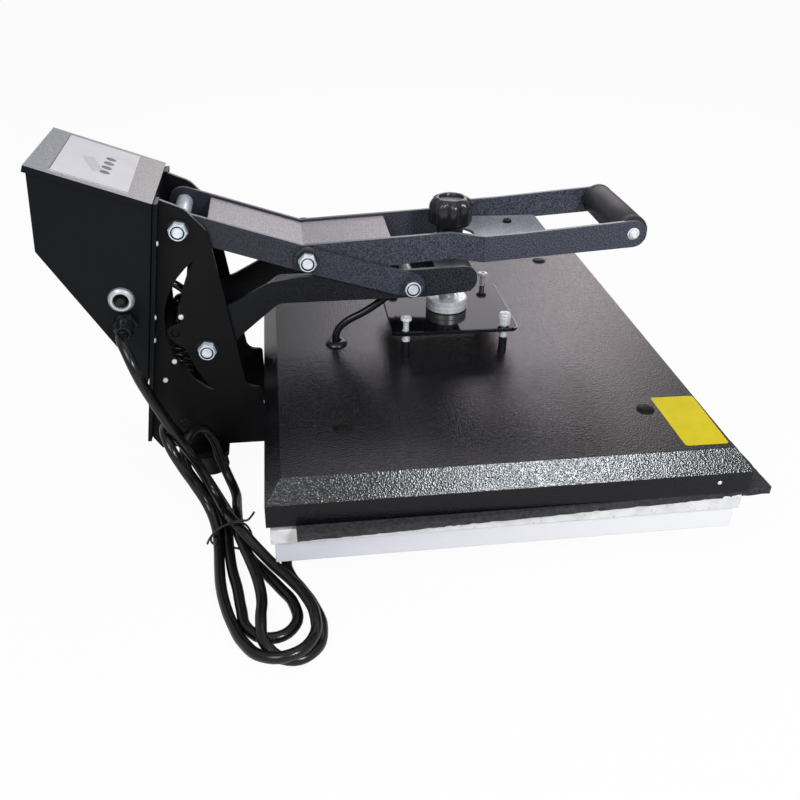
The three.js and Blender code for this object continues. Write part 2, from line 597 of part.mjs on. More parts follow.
// Webs between the bars: a bent one behind the knob and a flat one in front of it
const webLine = rearWebShares.map(([x, z]) => [x * lever.reach, z * lever.barDepth - rearWeb.drop]);
const webUnder = webLine.map(([x, z]) => [x, z - rearWeb.sheet]);
const rearWebOutline = outline([...webUnder, ...webLine.reverse()]);
place(leverGroup, 'lever_rear_web', acrossY(rearWebOutline, seat - rearHalf, rearHalf - seat), hammertone);
const [webRear, webFront] = frontWebShares.map((share) => share * lever.reach);
const spreadAt = (x) => rearHalf + ((x - joggleStart) * (frontHalf - rearHalf)) / (joggleEnd - joggleStart);
const weldGap = seat * Math.hypot(1, (frontHalf - rearHalf) / (joggleEnd - joggleStart));
const webHalf = [
  [webRear, spreadAt(webRear) - weldGap],
  [joggleEnd, frontHalf - weldGap],
  [webFront, frontHalf - weldGap, frontWeb.corner],
];
const webPlan = outline([...webHalf.map(([x, y, fillet]) => [x, -y, fillet]), ...[...webHalf].reverse()]);
const webBottom = frontWeb.bottom - leverPivot.z;
const webTop = webBottom + frontWeb.sheet;
const knobNotch = bar(
  'z', knob.radius + frontWeb.knobPlay, webBottom - overrun, webTop + overrun, screw.x - leverPivot.x, 0, 40,
);
place(leverGroup, 'lever_front_web', cutBy(upZ(webPlan, webBottom, webTop), knobNotch), hammertone);

// Grip on its long bolt, and the bolt that the links turn on
const gripTube = cutBy(
  bar('y', grip.radius, seat - frontHalf, frontHalf - seat, 0, 0, 28),
  bar('y', grip.boltRadius + seat, -frontHalf - overrun, frontHalf + overrun),
);
place(leverGroup, 'grip', gripTube, rubber, gripSpot.x, 0, gripSpot.z);
const gripBoltEnd = frontHalf + lever.sheet + seat;
const gripBolt = joined(
  bar('y', grip.boltRadius, -gripBoltEnd - seat, gripBoltEnd + seat),
  bar('y', grip.headRadius, gripBoltEnd, gripBoltEnd + grip.headHeight),
  bar('y', grip.headRadius, -gripBoltEnd - grip.headHeight, -gripBoltEnd),
);
place(leverGroup, 'grip_bolt', gripBolt, zinc, gripSpot.x, 0, gripSpot.z);
place(leverGroup, 'link_bolt', pivotBolt(pivotPin.radius, linkOuter), zinc, linkPivot.x, 0, linkPivot.z);

// Links: plates outside the arm, each with its own stub bolt at the arm's end
const linkGroup = carried(leverGroup, linkPivot.x, linkPivot.z);
const linkEnds = link.halfWidth;
const linkOutline = outline([
  [-linkEnds, -linkEnds, linkEnds - seat], [linkLength + linkEnds, -linkEnds, linkEnds - seat],
  [linkLength + linkEnds, linkEnds, linkEnds - seat], [-linkEnds, linkEnds, linkEnds - seat],
]);
const stubFoot = linkOuter - seat;
const stubWasher = linkOuter + washer.thickness;
for (const [name, sign] of [['left', -1], ['right', 1]]) {
  const plate = cutBy(
    acrossY(linkOutline, ...edges(sign, linkInner, linkOuter), 6),
    bar('y', pivotPin.radius + seat, ...edges(sign, linkInner - overrun, linkOuter + overrun)),
  );
  const withStub = joined(
    plate,
    bar('y', washer.radius, ...edges(sign, stubFoot, stubWasher), linkLength, 0, 24),
    hexBar(
      'y', pivotPin.headFlats, ...edges(sign, linkOuter, stubWasher + pivotPin.headHeight), linkLength, 0,
    ),
  );
  const mesh = place(linkGroup, `link_plate_${name}`, withStub, hammertone);
  mesh.rotation.y = -toggleAngle;
}

// Return springs: close-wound coils with a hook round the pin above and the rod below
const springX = armPivot.x - arm.tail;
const springTopPin = armPivot.z + arm.tailRise;
const hookRadius = springPinRadius + 2 * seat + spring.wire;
function hook(pinZ, up) {
  return Array.from({ length: springHook.steps + 1 }, (_, i) => {
    const angle = (springHook.turn * 2 * Math.PI * i) / springHook.steps;
    return [hookRadius * Math.sin(angle), 0, pinZ + up * hookRadius * Math.cos(angle)];
  });
}
const coilLow = anchor.z + hookRadius + spring.neck;
const coilHigh = springTopPin - hookRadius - spring.neck;
const coilSteps = spring.turns * spring.turnSteps;
const coil = Array.from({ length: coilSteps + 1 }, (_, i) => {
  const angle = (2 * Math.PI * spring.turns * i) / coilSteps;
  const z = coilLow + ((coilHigh - coilLow) * i) / coilSteps;
  return [-spring.radius * Math.cos(angle), spring.radius * Math.sin(angle), z];
});
const springPath = [...hook(anchor.z, -1), ...coil, ...hook(springTopPin, 1).reverse()];
const springWire = strand(springPath, spring.wire, 6, springPath.length - 1);
for (const [name, sign] of [['left', -1], ['right', 1]]) {
  place(press, `return_spring_${name}`, springWire, zinc, springX, sign * spring.offset);
}
const anchorRod = bar('y', anchor.radius, -sideOuter - seat, sideOuter + seat);
place(press, 'spring_anchor_rod', anchorRod, zinc, springX, 0, anchor.z);

// Control box: a folded sheet housing, open above, behind the flanges of the side plates
const boxFrontX = (z) => rearEdgeX(z) - seat;
const [breakerZ, glandZ, rockerZ] = [breaker, gland, rocker].map(({ below }) => rearTop[1] - below);
const breakerX = boxFrontX(breakerZ) - breaker.behind;
const glandX = boxFrontX(glandZ) - gland.behind;
const rockerX = boxFrontX(rockerZ) - rocker.behind;
const frontTop = [boxFrontX(rearTop[1]), rearTop[1] - seat];
const frontBottom = [boxFrontX(rearTop[1] - box.frontHeight), rearTop[1] - box.frontHeight];
const rearTopCorner = [frontTop[0] - box.run, frontTop[1] + box.rise];
const rearBottomCorner = [rearTopCorner[0] - box.rearLean, rearTopCorner[1] - box.rearHeight];
const boxCorners = [frontTop, rearTopCorner, rearBottomCorner, frontBottom];

// The outline moved inwards by one distance for each of its edges.
function inset(corners, distances) {
  const lines = corners.map((start, index) => {
    const end = corners[(index + 1) % corners.length];
    const direction = new THREE.Vector2(end[0] - start[0], end[1] - start[1]).normalize();
    const inward = new THREE.Vector2(-direction.y, direction.x);
    const point = new THREE.Vector2(...start).addScaledVector(inward, distances[index]);
    return { point, direction };
  });
  return lines.map((line, index) => {
    const before = lines.at(index - 1);
    const across = before.direction.cross(line.direction);
    const reach = line.point.clone().sub(before.point).cross(line.direction) / across;
    return before.point.clone().addScaledVector(before.direction, reach).toArray();
  });
}
const boxInside = inset(boxCorners, [-overrun, box.sheet, box.sheet, box.sheet]);
const glandHole = bar('y', glandNeck.radius + seat, -boxSide - overrun, 0, glandX, glandZ);
const breakerHole = bar('y', breaker.bushRadius + seat, -boxSide - overrun, 0, breakerX, breakerZ);
const rockerHole = block(
  [rockerX - rocker.width / 2 + rocker.border - seat, rockerX + rocker.width / 2 - rocker.border + seat],
  [0, boxSide + overrun],
  [rockerZ - rocker.height / 2 + rocker.border - seat, rockerZ + rocker.height / 2 - rocker.border + seat],
);
const entryX = boxFrontX(cableEntry.z);
const entryEdges = [entryX - cableEntry.run - overrun, entryX + overrun];
const cableHole = bar('x', cable.radius + cableEntry.play, ...entryEdges, grommet.y, cableEntry.z);
const housing = cutBy(
  acrossY(outline(boxCorners), -boxSide, boxSide),
  acrossY(outline(boxInside), box.sheet - boxSide, boxSide - box.sheet),
  glandHole, breakerHole, rockerHole, cableHole,
);
place(press, 'control_box', housing, hammertone);

// Control panel: the lid of the box, in a group that lies along its slope
const panelLength = Math.hypot(box.run, box.rise);
const panelGroup = carried(press, ...frontTop);
panelGroup.rotation.y = Math.atan2(box.rise, box.run);
const lipOuter = boxSide + seat + panel.sheet;
const panelTop = seat + panel.sheet;
const buttonSpots = Array.from({ length: panelButton.count }, (_, i) => (
  (i - (panelButton.count - 1) / 2) * panelButton.pitch
));
const lidRear = -panelLength - seat - panel.sheet;
const lipHeights = [-panel.lip, seat * 2];
const lid = joined(
  block([lidRear, 0], [-lipOuter, lipOuter], [seat, panelTop]),
  block([lidRear, 0], [-lipOuter, panel.sheet - lipOuter], lipHeights),
  block([lidRear, 0], [lipOuter - panel.sheet, lipOuter], lipHeights),
  block([lidRear, lidRear + panel.sheet], [seat * 2 - lipOuter, lipOuter - seat * 2], lipHeights),
);
const buttonHoles = buttonSpots.map((y) => (
  bar('z', panelButton.radius + seat, -overrun, panelTop + overrun, -panelButton.fromFront, y)
));
place(panelGroup, 'control_panel', cutBy(lid, ...buttonHoles), greyPaint);
const boardTop = -board.drop;
const boardPlan = rectangle(
  panelLength - 2 * board.margin, box.width - 2 * board.margin, panelButton.radius, -panelLength / 2,
);
const postX = [board.postInset - panelLength, -board.postInset];
const posts = postX.flatMap((x) => [-1, 1].map((sign) => (
  bar('z', board.postRadius, boardTop - seat, 0, x, sign * (boxSide - board.postInset), 12)
)));
const boardShape = joined(upZ(boardPlan, boardTop - board.thickness, boardTop), ...posts);
place(panelGroup, 'circuit_board', boardShape, green);
const buttonShape = joined(
  bar('z', panelButton.radius, -panelButton.stem / 2, panelTop + panelButton.travel),
  bar('z', panelButton.collar, -panelButton.stem, seat - panelButton.travel),
);
buttonSpots.forEach((y, index) => {
  place(panelGroup, `panel_button_${index + 1}`, buttonShape, plastic, -panelButton.fromFront, y);
});

// Overload breaker with its reset button, on the left wall
const breakerGroup = carried(press, breakerX, breakerZ);
const wall = -boxSide;
const buttonEnd = wall + breakerButton.stem;
const breakerSquare = [-breakerBack.size / 2, breakerBack.size / 2];
const breakerShape = cutBy(
  joined(
    turned([
      [0, -seat], [breaker.radius, -seat], [breaker.radius, seat - breaker.height / 2],
      [breaker.bushRadius, -breaker.height], [0, -breaker.height],
    ].reverse()).rotateX(-Math.PI / 2).translate(0, wall, 0),
    bar('y', breaker.bushRadius, wall - seat * 2, wall + box.sheet + seat * 2),
    block(breakerSquare, [wall + box.sheet + seat, wall + breakerBack.depth], breakerSquare),
  ),
  bar(
    'y', breakerButton.radius + seat,
    wall - breaker.height - overrun, buttonEnd + breakerButton.travel + seat,
  ),
);
place(breakerGroup, 'breaker_body', breakerShape, zinc);
const buttonOut = wall - breaker.height - breakerButton.stand;
place(breakerGroup, 'breaker_button', bar('y', breakerButton.radius, buttonOut, buttonEnd), plastic);

// Cable gland on the left wall
const glandGroup = carried(press, glandX, glandZ);
const hexTop = wall - seat - gland.hexHeight;
const capTop = hexTop - glandCap.height;
const glandShape = cutBy(
  joined(
    hexBar('y', gland.flats, hexTop, wall - seat).rotateY(Math.PI / 6),
    turned([
      [0, 0], [glandCap.radius, 0], [glandCap.radius, glandCap.height / 2],
      [glandCap.tipRadius, glandCap.height], [0, glandCap.height],
    ]).rotateX(Math.PI / 2).translate(0, hexTop + seat, 0),
    bar('y', glandNeck.radius, wall - seat * 2, wall + glandNeck.depth),
  ),
  bar('y', cord.radius - seat, capTop + overrun, wall + glandNeck.depth + overrun),
);
place(glandGroup, 'cord_gland', glandShape, plastic);

// Power switch on the right wall: a bezel with a rocker on its own pin
const rockerGroup = carried(press, rockerX, rockerZ);
const [rockW, rockH] = [rocker.width / 2 - rocker.border, rocker.height / 2 - rocker.border];
const well = rocker.depth / 2;
const switchShape = cutBy(
  joined(
    block([-rocker.width / 2, rocker.width / 2], [boxSide + seat, boxSide + seat + rocker.bezel],
      [-rocker.height / 2, rocker.height / 2]),
    block([-rockW, rockW], [boxSide - rocker.depth, boxSide + seat * 2], [-rockH, rockH]),
  ),
  block([box.sheet - rockW, rockW - box.sheet], [boxSide - well, boxSide + rocker.bezel + overrun],
    [box.sheet - rockH, rockH - box.sheet]),
);
place(rockerGroup, 'switch_housing', switchShape, plastic);
const rockerHalf = rockW - box.sheet - seat;
const rockerProud = boxSide + seat + rocker.bezel;
const rockerOutline = outline([
  [-rockerHalf + rocker.bezel, rockerProud - well], [rockerHalf - rocker.bezel, rockerProud - well],
  [rockerHalf, rockerProud + rocker.bezel], [0, rockerProud], [-rockerHalf, rockerProud + seat],
]);
const rockerShape = upZ(rockerOutline, seat + box.sheet - rockH, rockH - box.sheet - seat);
place(rockerGroup, 'switch_rocker', rockerShape, plastic);

// Heater cable: carried by the arm, with a free loop over the arm's pivot into the box
const cableY = grommet.y;
const cableRoute = [
  [grommet.x, coverUnderside - cable.dip], [grommet.x, coverTop], [grommet.x, coverTop + 10], [-127, 147],
  [-118, 155], [-103, 163], [-88, 173], [-77, 183], [-73, 194], [-80, 204], [-94, 208],
  [-125, 204], [-160, 200], [-185, 192], [-210, 182], [-228, 176],
].map(([x, z]) => [x - armPivot.x, cableY, z - armPivot.z]);
place(armGroup, 'heater_cable', strand(cableRoute, cable.radius, cable.sides, cable.steps), rubber);
const loopRoute = [
  [-228.6, 175.8], [-240, 172.5], [-252, 174], [-264, 183], [-275, 196], [-286, 203.5],
  [entryX + cableEntry.run, cableEntry.z], [entryX - cableEntry.run, cableEntry.z],
].map(([x, z]) => [x, cableY, z]);
place(press, 'heater_cable_loop', strand(loopRoute, cable.radius, cable.sides, cable.loopSteps), rubber);

// Mains lead: from the gland down the left side to the hank
const cordRoute = [
  [glandX, capTop - seat, glandZ], [glandX, -94, glandZ - 0.4], [-320, -101, 180.8],
  [-317, -107.4, 176], [-313.2, -112.6, 168], [-309.2, -114.8, 158.2], [-305.9, -113.5, 147],
  [-302.5, -111.2, 135.3], [-298.5, -109.2, 124], [-294.3, -108.3, 112.9], [-290.5, -108.8, 105],
  [-289.3, -109, 100], [-289.3, -109, hank.humpHeight + seat],
];
place(press, 'power_cord', strand(cordRoute, cord.radius, cord.sides, cord.steps), rubber);

// The hank's outer shape: a teardrop on the floor and a hump that leans on the side plate
const hankPlan = outline([
  [-262, -62, 8], [-276, -62, 8], [-276, -130, 10], [-254, -165, 20], [-248, -240, 40], [-230, -292, 34],
  [-196, -321, 24], [-164, -302, 24], [-155, -262, 34], [-168, -215, 30], [-206, -168, 12],
  [-206, -132, 8], [-238, -100, 10],
]);
const humpPlan = outline([[-240, -61, 8], [-304, -61, 8], [-304, -122, 8], [-240, -122, 8]]);
const tailRoute = [
  [-177, -232, cord.radius], [-185.9, -214, cord.radius], [-189.2, -195, 5.5], [-182.4, -178, 8],
  [-168.4, -169, 11], [plug.x - cord.radius, plug.y, plug.height / 2],
  [plug.x - seat, plug.y, plug.height / 2],
];
place(press, 'cord_hank', joined(
  upZ(hankPlan, 0, hank.floorHeight), upZ(humpPlan, 0, hank.humpHeight),
  strand(tailRoute, cord.radius, cord.sides, cord.tailSteps),
), rubber);

// Plug, lying on the floor against the hank
const plugFace = plugRelief.length + plug.length;
const plugBody = joined(
  upZ(rectangle(plug.length, plug.width, plug.corner, plugRelief.length + plug.length / 2), 0, plug.height),
  bar('x', plugRelief.radius, 0, plugRelief.length + plug.corner, 0, plug.height / 2, 16),
  ...[-1, 1].map((sign) => bar(
    'x', plugPin.radius, plugFace - overrun, plugFace + plugPin.length,
    sign * plugPin.spacing / 2, plug.height / 2, 12,
  )),
);
place(press, 'power_plug', plugBody, plastic, plug.x, plug.y, 0);

// The origin: bottom centre of the box round everything but the lead
press.updateMatrixWorld(true);
const leadNames = ['power_cord', 'cord_hank', 'power_plug'];
const extent = new THREE.Box3();
press.traverse((object) => {
  if (object.isMesh && !leadNames.includes(object.name)) extent.expandByObject(object, true);
});
press.position.x = -(extent.min.x + extent.max.x) / 2;

export default press;
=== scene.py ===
import math

import bmesh
import bpy
from mathutils import Matrix, Vector, noise


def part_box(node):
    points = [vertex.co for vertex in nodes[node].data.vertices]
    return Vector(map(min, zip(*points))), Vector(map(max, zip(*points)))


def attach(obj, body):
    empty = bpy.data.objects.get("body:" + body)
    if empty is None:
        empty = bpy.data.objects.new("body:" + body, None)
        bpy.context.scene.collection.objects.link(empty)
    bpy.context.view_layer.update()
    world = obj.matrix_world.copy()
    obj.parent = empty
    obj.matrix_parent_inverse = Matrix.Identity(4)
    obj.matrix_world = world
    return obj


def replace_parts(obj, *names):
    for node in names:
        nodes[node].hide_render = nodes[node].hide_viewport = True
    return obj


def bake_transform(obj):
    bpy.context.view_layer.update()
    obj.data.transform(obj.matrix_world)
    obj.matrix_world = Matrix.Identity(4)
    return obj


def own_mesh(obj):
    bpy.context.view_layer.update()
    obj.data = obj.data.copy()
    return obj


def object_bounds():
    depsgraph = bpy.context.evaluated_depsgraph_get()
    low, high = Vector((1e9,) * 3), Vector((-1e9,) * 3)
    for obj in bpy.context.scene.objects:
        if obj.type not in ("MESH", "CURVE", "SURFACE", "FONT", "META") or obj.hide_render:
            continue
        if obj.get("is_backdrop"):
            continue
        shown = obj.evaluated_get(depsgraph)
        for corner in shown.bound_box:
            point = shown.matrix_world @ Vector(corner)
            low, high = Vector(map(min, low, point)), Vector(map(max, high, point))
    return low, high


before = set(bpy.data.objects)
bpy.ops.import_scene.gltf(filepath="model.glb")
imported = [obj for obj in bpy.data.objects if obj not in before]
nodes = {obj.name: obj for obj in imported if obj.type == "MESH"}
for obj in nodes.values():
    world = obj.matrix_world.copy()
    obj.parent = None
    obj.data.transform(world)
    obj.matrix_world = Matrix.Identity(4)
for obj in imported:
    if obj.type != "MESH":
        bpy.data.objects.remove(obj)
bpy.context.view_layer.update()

# Camera: a hand-held view from the front left, a little above the press.
# Its place is measured from the middle of the cover's top.
camera_offset = Vector((-0.17898, -0.79312, 0.40990))
camera_yaw, camera_pitch, camera_roll = 0.1598, -0.5052, 0.0274
film_width, focal_length = 36, 38.93
shift_across, shift_up = -0.0125, -0.0502
cover_low, cover_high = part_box("cover")
forward = Vector((
    math.sin(camera_yaw) * math.cos(camera_pitch),
    math.cos(camera_yaw) * math.cos(camera_pitch),
    math.sin(camera_pitch),
))
level = Vector((math.cos(camera_yaw), -math.sin(camera_yaw), 0))
upright = level.cross(forward)
right = math.cos(camera_roll) * level + math.sin(camera_roll) * upright
upward = math.cos(camera_roll) * upright - math.sin(camera_roll) * level
camera = bpy.data.objects.new("camera", bpy.data.cameras.new("camera"))
bpy.context.collection.objects.link(camera)
camera.data.sensor_width, camera.data.lens = film_width, focal_length
camera.data.shift_x, camera.data.shift_y = shift_across, shift_up
place = Vector(((cover_low[0] + cover_high[0]) / 2, 0, cover_high[2])) + camera_offset
camera.matrix_world = Matrix.Translation(place) @ Matrix((right, upward, -forward)).transposed().to_4x4()
bpy.context.scene.camera = camera


class Wire:
    """A shader socket: arithmetic on it adds Math nodes to its material."""

    def __init__(self, tree, socket):
        self.tree, self.socket = tree, socket

    def node(self, kind, settings, sockets, output=0):
        made = self.tree.nodes.new(kind)
        for name, value in settings.items():
            setattr(made, name, value)
        for name, value in sockets.items():
            if isinstance(value, Wire):
                self.tree.links.new(value.socket, made.inputs[name])
            else:
                made.inputs[name].default_value = value
        return Wire(self.tree, made.outputs[output])

    def math(self, operation, first, second):
        return self.node("ShaderNodeMath", {"operation": operation}, {0: first, 1: second})

    def __add__(self, other):
        return self.math("ADD", self, other)

    def __radd__(self, other):
        return self.math("ADD", other, self)

    def __mul__(self, other):
        return self.math("MULTIPLY", self, other)

    def __rmul__(self, other):
        return self.math("MULTIPLY", other, self)

    def steps(self, low, high, start=0.0, end=1.0):
        """This value, moved from the range low to high into start to end."""
        return self.node(
            "ShaderNodeMapRange", {"clamp": True},
            {"Value": self, "From Min": low, "From Max": high, "To Min": start, "To Max": end},
        )

    def mixed(self, dark, light):
        """A colour between dark and light, by this value."""
        return self.node("ShaderNodeMix", {"data_type": "RGBA"}, {0: self, 6: dark, 7: light}, 2)


def paint(red, green, blue):
    """A colour given in 0 to 255 as it shows on a screen, in linear light."""
    shares = (value / 255 for value in (red, green, blue))
    return (*(s / 12.92 if s <= 0.04045 else ((s + 0.055) / 1.055) ** 2.4 for s in shares), 1)


def material(name, colour, constants, varying=None):
    """A principled material; varying gives the sockets that change over the surface."""
    made = bpy.data.materials.new(name)
    made.use_nodes = True
    made.diffuse_color = colour
    tree = made.node_tree
    shader = tree.nodes["Principled BSDF"]
    shader.inputs["Base Color"].default_value = colour
    for socket, value in constants.items():
        shader.inputs[socket].default_value = value
    if varying:
        spot = Wire(tree, tree.nodes.new("ShaderNodeTexCoord").outputs["Object"])
        for socket, wire in varying(spot).items():
            tree.links.new(wire.socket, shader.inputs[socket])
    return made


def graded(spot, low, high, axis=0):
    """Runs from 0 to 1 between two places along an axis of the object."""
    return spot.node("ShaderNodeSeparateXYZ", {}, {"Vector": spot}, axis).steps(low, high)


def cloudy(spot, size, detail=2.0):
    """Soft noise from 0 to 1, with clouds of about that size."""
    return spot.node(
        "ShaderNodeTexNoise", {}, {"Vector": spot, "Scale": 1 / size, "Detail": detail},
    )


def bumpy(spot, height, strength, depth):
    """The surface's direction, as its height makes it."""
    return spot.node(
        "ShaderNodeBump", {}, {"Height": height, "Strength": strength, "Distance": depth},
    )


# The mains lead: black rubber cable, 9.6 mm thick, from the gland down the left side.
# Its spare length lies in two long loops that a wire tie holds; the plug is under the tray.
lead_radius = 0.0048
lead_points = [
    (-0.2411, -0.0861, 0.1835), (-0.2411, -0.0941, 0.1835), (-0.2353, -0.1076, 0.1761),
    (-0.2277, -0.1156, 0.1582), (-0.2211, -0.1112, 0.1353), (-0.2129, -0.1083, 0.1129),
    (-0.2026, -0.1105, 0.0915), (-0.1922, -0.1117, 0.0708), (-0.1838, -0.1087, 0.0481),
    (-0.1742, -0.1136, 0.0280), (-0.1646, -0.1320, 0.0215), (-0.1571, -0.1545, 0.0266),
    (-0.1466, -0.1748, 0.0273), (-0.1328, -0.1926, 0.0207), (-0.1190, -0.2101, 0.0156),
    (-0.1050, -0.2290, 0.0147), (-0.0931, -0.2497, 0.0145), (-0.0861, -0.2731, 0.0141),
    (-0.0891, -0.2970, 0.0144), (-0.1067, -0.3118, 0.0144), (-0.1289, -0.3079, 0.0119),
    (-0.1437, -0.2892, 0.0082), (-0.1529, -0.2673, 0.0064), (-0.1597, -0.2449, 0.0060),
    (-0.1643, -0.2217, 0.0063), (-0.1665, -0.1982, 0.0069), (-0.1679, -0.1747, 0.0092),
    (-0.1708, -0.1515, 0.0143), (-0.1784, -0.1320, 0.0242), (-0.1888, -0.1241, 0.0423),
    (-0.1986, -0.1247, 0.0653), (-0.2088, -0.1164, 0.0842), (-0.2145, -0.0948, 0.0893),
    (-0.2110, -0.0756, 0.0773), (-0.2025, -0.0691, 0.0555), (-0.1927, -0.0706, 0.0325),
    (-0.1817, -0.0798, 0.0145), (-0.1711, -0.0984, 0.0071), (-0.1621, -0.1203, 0.0064),
    (-0.1545, -0.1425, 0.0065), (-0.1480, -0.1653, 0.0060), (-0.1396, -0.1873, 0.0050),
    (-0.1272, -0.2072, 0.0049), (-0.1146, -0.2274, 0.0049), (-0.1028, -0.2494, 0.0049),
    (-0.1028, -0.2724, 0.0048), (-0.1219, -0.2839, 0.0048), (-0.1406, -0.2723, 0.0049),
    (-0.1467, -0.2485, 0.0050), (-0.1504, -0.2247, 0.0051), (-0.1554, -0.2014, 0.0054),
    (-0.1586, -0.1780, 0.0076), (-0.1610, -0.1550, 0.0102), (-0.1672, -0.1321, 0.0100),
    (-0.1777, -0.1138, 0.0163), (-0.1895, -0.1100, 0.0353), (-0.1975, -0.1095, 0.0585),
    (-0.1954, -0.0950, 0.0753), (-0.1848, -0.0749, 0.0740), (-0.1756, -0.0642, 0.0554),
    (-0.1707, -0.0626, 0.0310), (-0.1630, -0.0697, 0.0115), (-0.1557, -0.0894, 0.0048),
    (-0.1535, -0.1126, 0.0084), (-0.1521, -0.1346, 0.0154), (-0.1501, -0.1571, 0.0183),
    (-0.1463, -0.1797, 0.0169), (-0.1395, -0.2018, 0.0160), (-0.1330, -0.2243, 0.0146),
    (-0.1293, -0.2476, 0.0125), (-0.1299, -0.2716, 0.0138), (-0.1267, -0.2951, 0.0112),
    (-0.1092, -0.3083, 0.0058), (-0.0881, -0.3008, 0.0048), (-0.0809, -0.2784, 0.0049),
    (-0.0859, -0.2539, 0.0049), (-0.0956, -0.2317, 0.0048), (-0.1045, -0.2140, 0.0049),
    (-0.1078, -0.1950, 0.0055), (-0.1010, -0.1780, 0.0080), (-0.0870, -0.1690, 0.0110),
    (-0.0760, -0.1670, 0.0120), (-0.0683, -0.1670, 0.0120),
]
cable_rubber = material(
    "cable_rubber", paint(13, 13, 14), {"Roughness": 0.22, "Specular IOR Level": 0.42},
    lambda spot: {"Normal": bumpy(spot, cloudy(spot, 0.004), 0.08, 0.0005)},
)


def cable(name, points, radius, look, body):
    """A round cable along a smooth line through the points."""
    curve = bpy.data.curves.new(name, "CURVE")
    curve.dimensions = "3D"
    curve.bevel_depth, curve.bevel_resolution, curve.resolution_u = radius, 5, 5
    curve.use_fill_caps = True
    spline = curve.splines.new("BEZIER")
    spline.bezier_points.add(len(points) - 1)
    for knot, point in zip(spline.bezier_points, points):
        knot.co = point
        knot.handle_left_type = knot.handle_right_type = "AUTO"
    curve.materials.append(look)
    made = bpy.data.objects.new(name, curve)
    bpy.context.collection.objects.link(made)
    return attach(made, body) if body else made


def placed(name, bm):
    """A new object at the origin, from modelled faces."""
    mesh = bpy.data.meshes.new(name)
    bm.to_mesh(mesh)
    bm.free()
    made = bpy.data.objects.new(name, mesh)
    bpy.context.collection.objects.link(made)
    return made


def smoothed(piece, angle):
    """Smooth shading, which keeps edges sharper than the angle."""
    bpy.ops.object.select_all(action="DESELECT")
    bpy.context.view_layer.objects.active = piece
    piece.select_set(True)
    bpy.ops.object.shade_smooth_by_angle(angle=math.radians(angle))


def finished(name, bm, look, body, angle=35):
    """Turns modelled faces into a piece: clean normals, smooth sides, a finish and a body."""
    bmesh.ops.remove_doubles(bm, verts=bm.verts, dist=1e-6)
    bmesh.ops.recalc_face_normals(bm, faces=bm.faces)
    made = placed(name, bm)
    for each in look if isinstance(look, list) else [look]:
        made.data.materials.append(each)
    smoothed(made, angle)
    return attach(made, body)


def middle(low, high):
    """The point half way between two corners."""
    return [(least + most) / 2 for least, most in zip(low, high)]


def along(axis, spot):
    """The move that takes upright work to a spot, standing along an axis."""
    turn = Vector((0, 0, 1)).rotation_difference(Vector(axis)).to_matrix().to_4x4()
    return Matrix.Translation(spot) @ turn


def lathe(bm, profile, spot, axis=(0, 0, 1), steps=48, mark=0):
    """Spins a profile of (radius, height) round an axis."""
    line = [bm.verts.new((radius, 0, height)) for radius, height in profile]
    edges = [bm.edges.new(pair) for pair in zip(line, line[1:])]
    old = set(bm.verts) - set(line)
    bmesh.ops.spin(
        bm, geom=line + edges, cent=(0, 0, 0), axis=(0, 0, 1), angle=math.tau, steps=steps,
        use_merge=True,
    )
    new = [vert for vert in bm.verts if vert not in old]
    bmesh.ops.transform(bm, matrix=along(axis, spot), verts=new)
    for face in {face for vert in new for face in vert.link_faces}:
        face.material_index = mark
    return new


def prism(bm, sides, radius, height, spot, axis=(0, 0, 1), twist=0.0, edge=0.0, mark=0):
    """A bar with flat sides, its rims taken off by edge."""
    made = bmesh.ops.create_cone(
        bm, cap_ends=True, segments=sides, radius1=radius, radius2=radius, depth=height,
        matrix=along(axis, spot) @ Matrix.Translation((0, 0, height / 2)) @ Matrix.Rotation(twist, 4, "Z"),
    )["verts"]
    faces = {face for vert in made for face in vert.link_faces}
    for face in faces:
        face.material_index = mark
    if edge:
        rims = {e for face in faces if len(face.verts) == sides for e in face.edges}
        bmesh.ops.bevel(bm, geom=list(rims), offset=edge, segments=2, affect="EDGES", profile=0.6)


lead = cable("mains_lead", lead_points, lead_radius, cable_rubber, "frame")

# The wire tie: a thin black coated wire that goes twice round the bundle of loops.
# It is twisted by hand, and its two ends stand up.
tie_radius = 0.0010
tie_wire = material("tie_wire", paint(20, 20, 22), {"Roughness": 0.4})
tie_points = [
    (-0.1345, -0.1700, 0.0430), (-0.1375, -0.1690, 0.0375), (-0.1410, -0.1700, 0.0345),
    (-0.1480, -0.1690, 0.0340), (-0.1600, -0.1665, 0.0285), (-0.1720, -0.1640, 0.0180),
    (-0.1752, -0.1640, 0.0080), (-0.1700, -0.1650, 0.0034), (-0.1560, -0.1680, 0.0022),
    (-0.1420, -0.1720, 0.0034), (-0.1385, -0.1740, 0.0130), (-0.1395, -0.1740, 0.0270),
    (-0.1460, -0.1730, 0.0345), (-0.1600, -0.1700, 0.0305), (-0.1700, -0.1690, 0.0230),
    (-0.1755, -0.1710, 0.0175), (-0.1780, -0.1740, 0.0135),
]
tie = cable("wire_tie", tie_points, tie_radius, tie_wire, "frame")

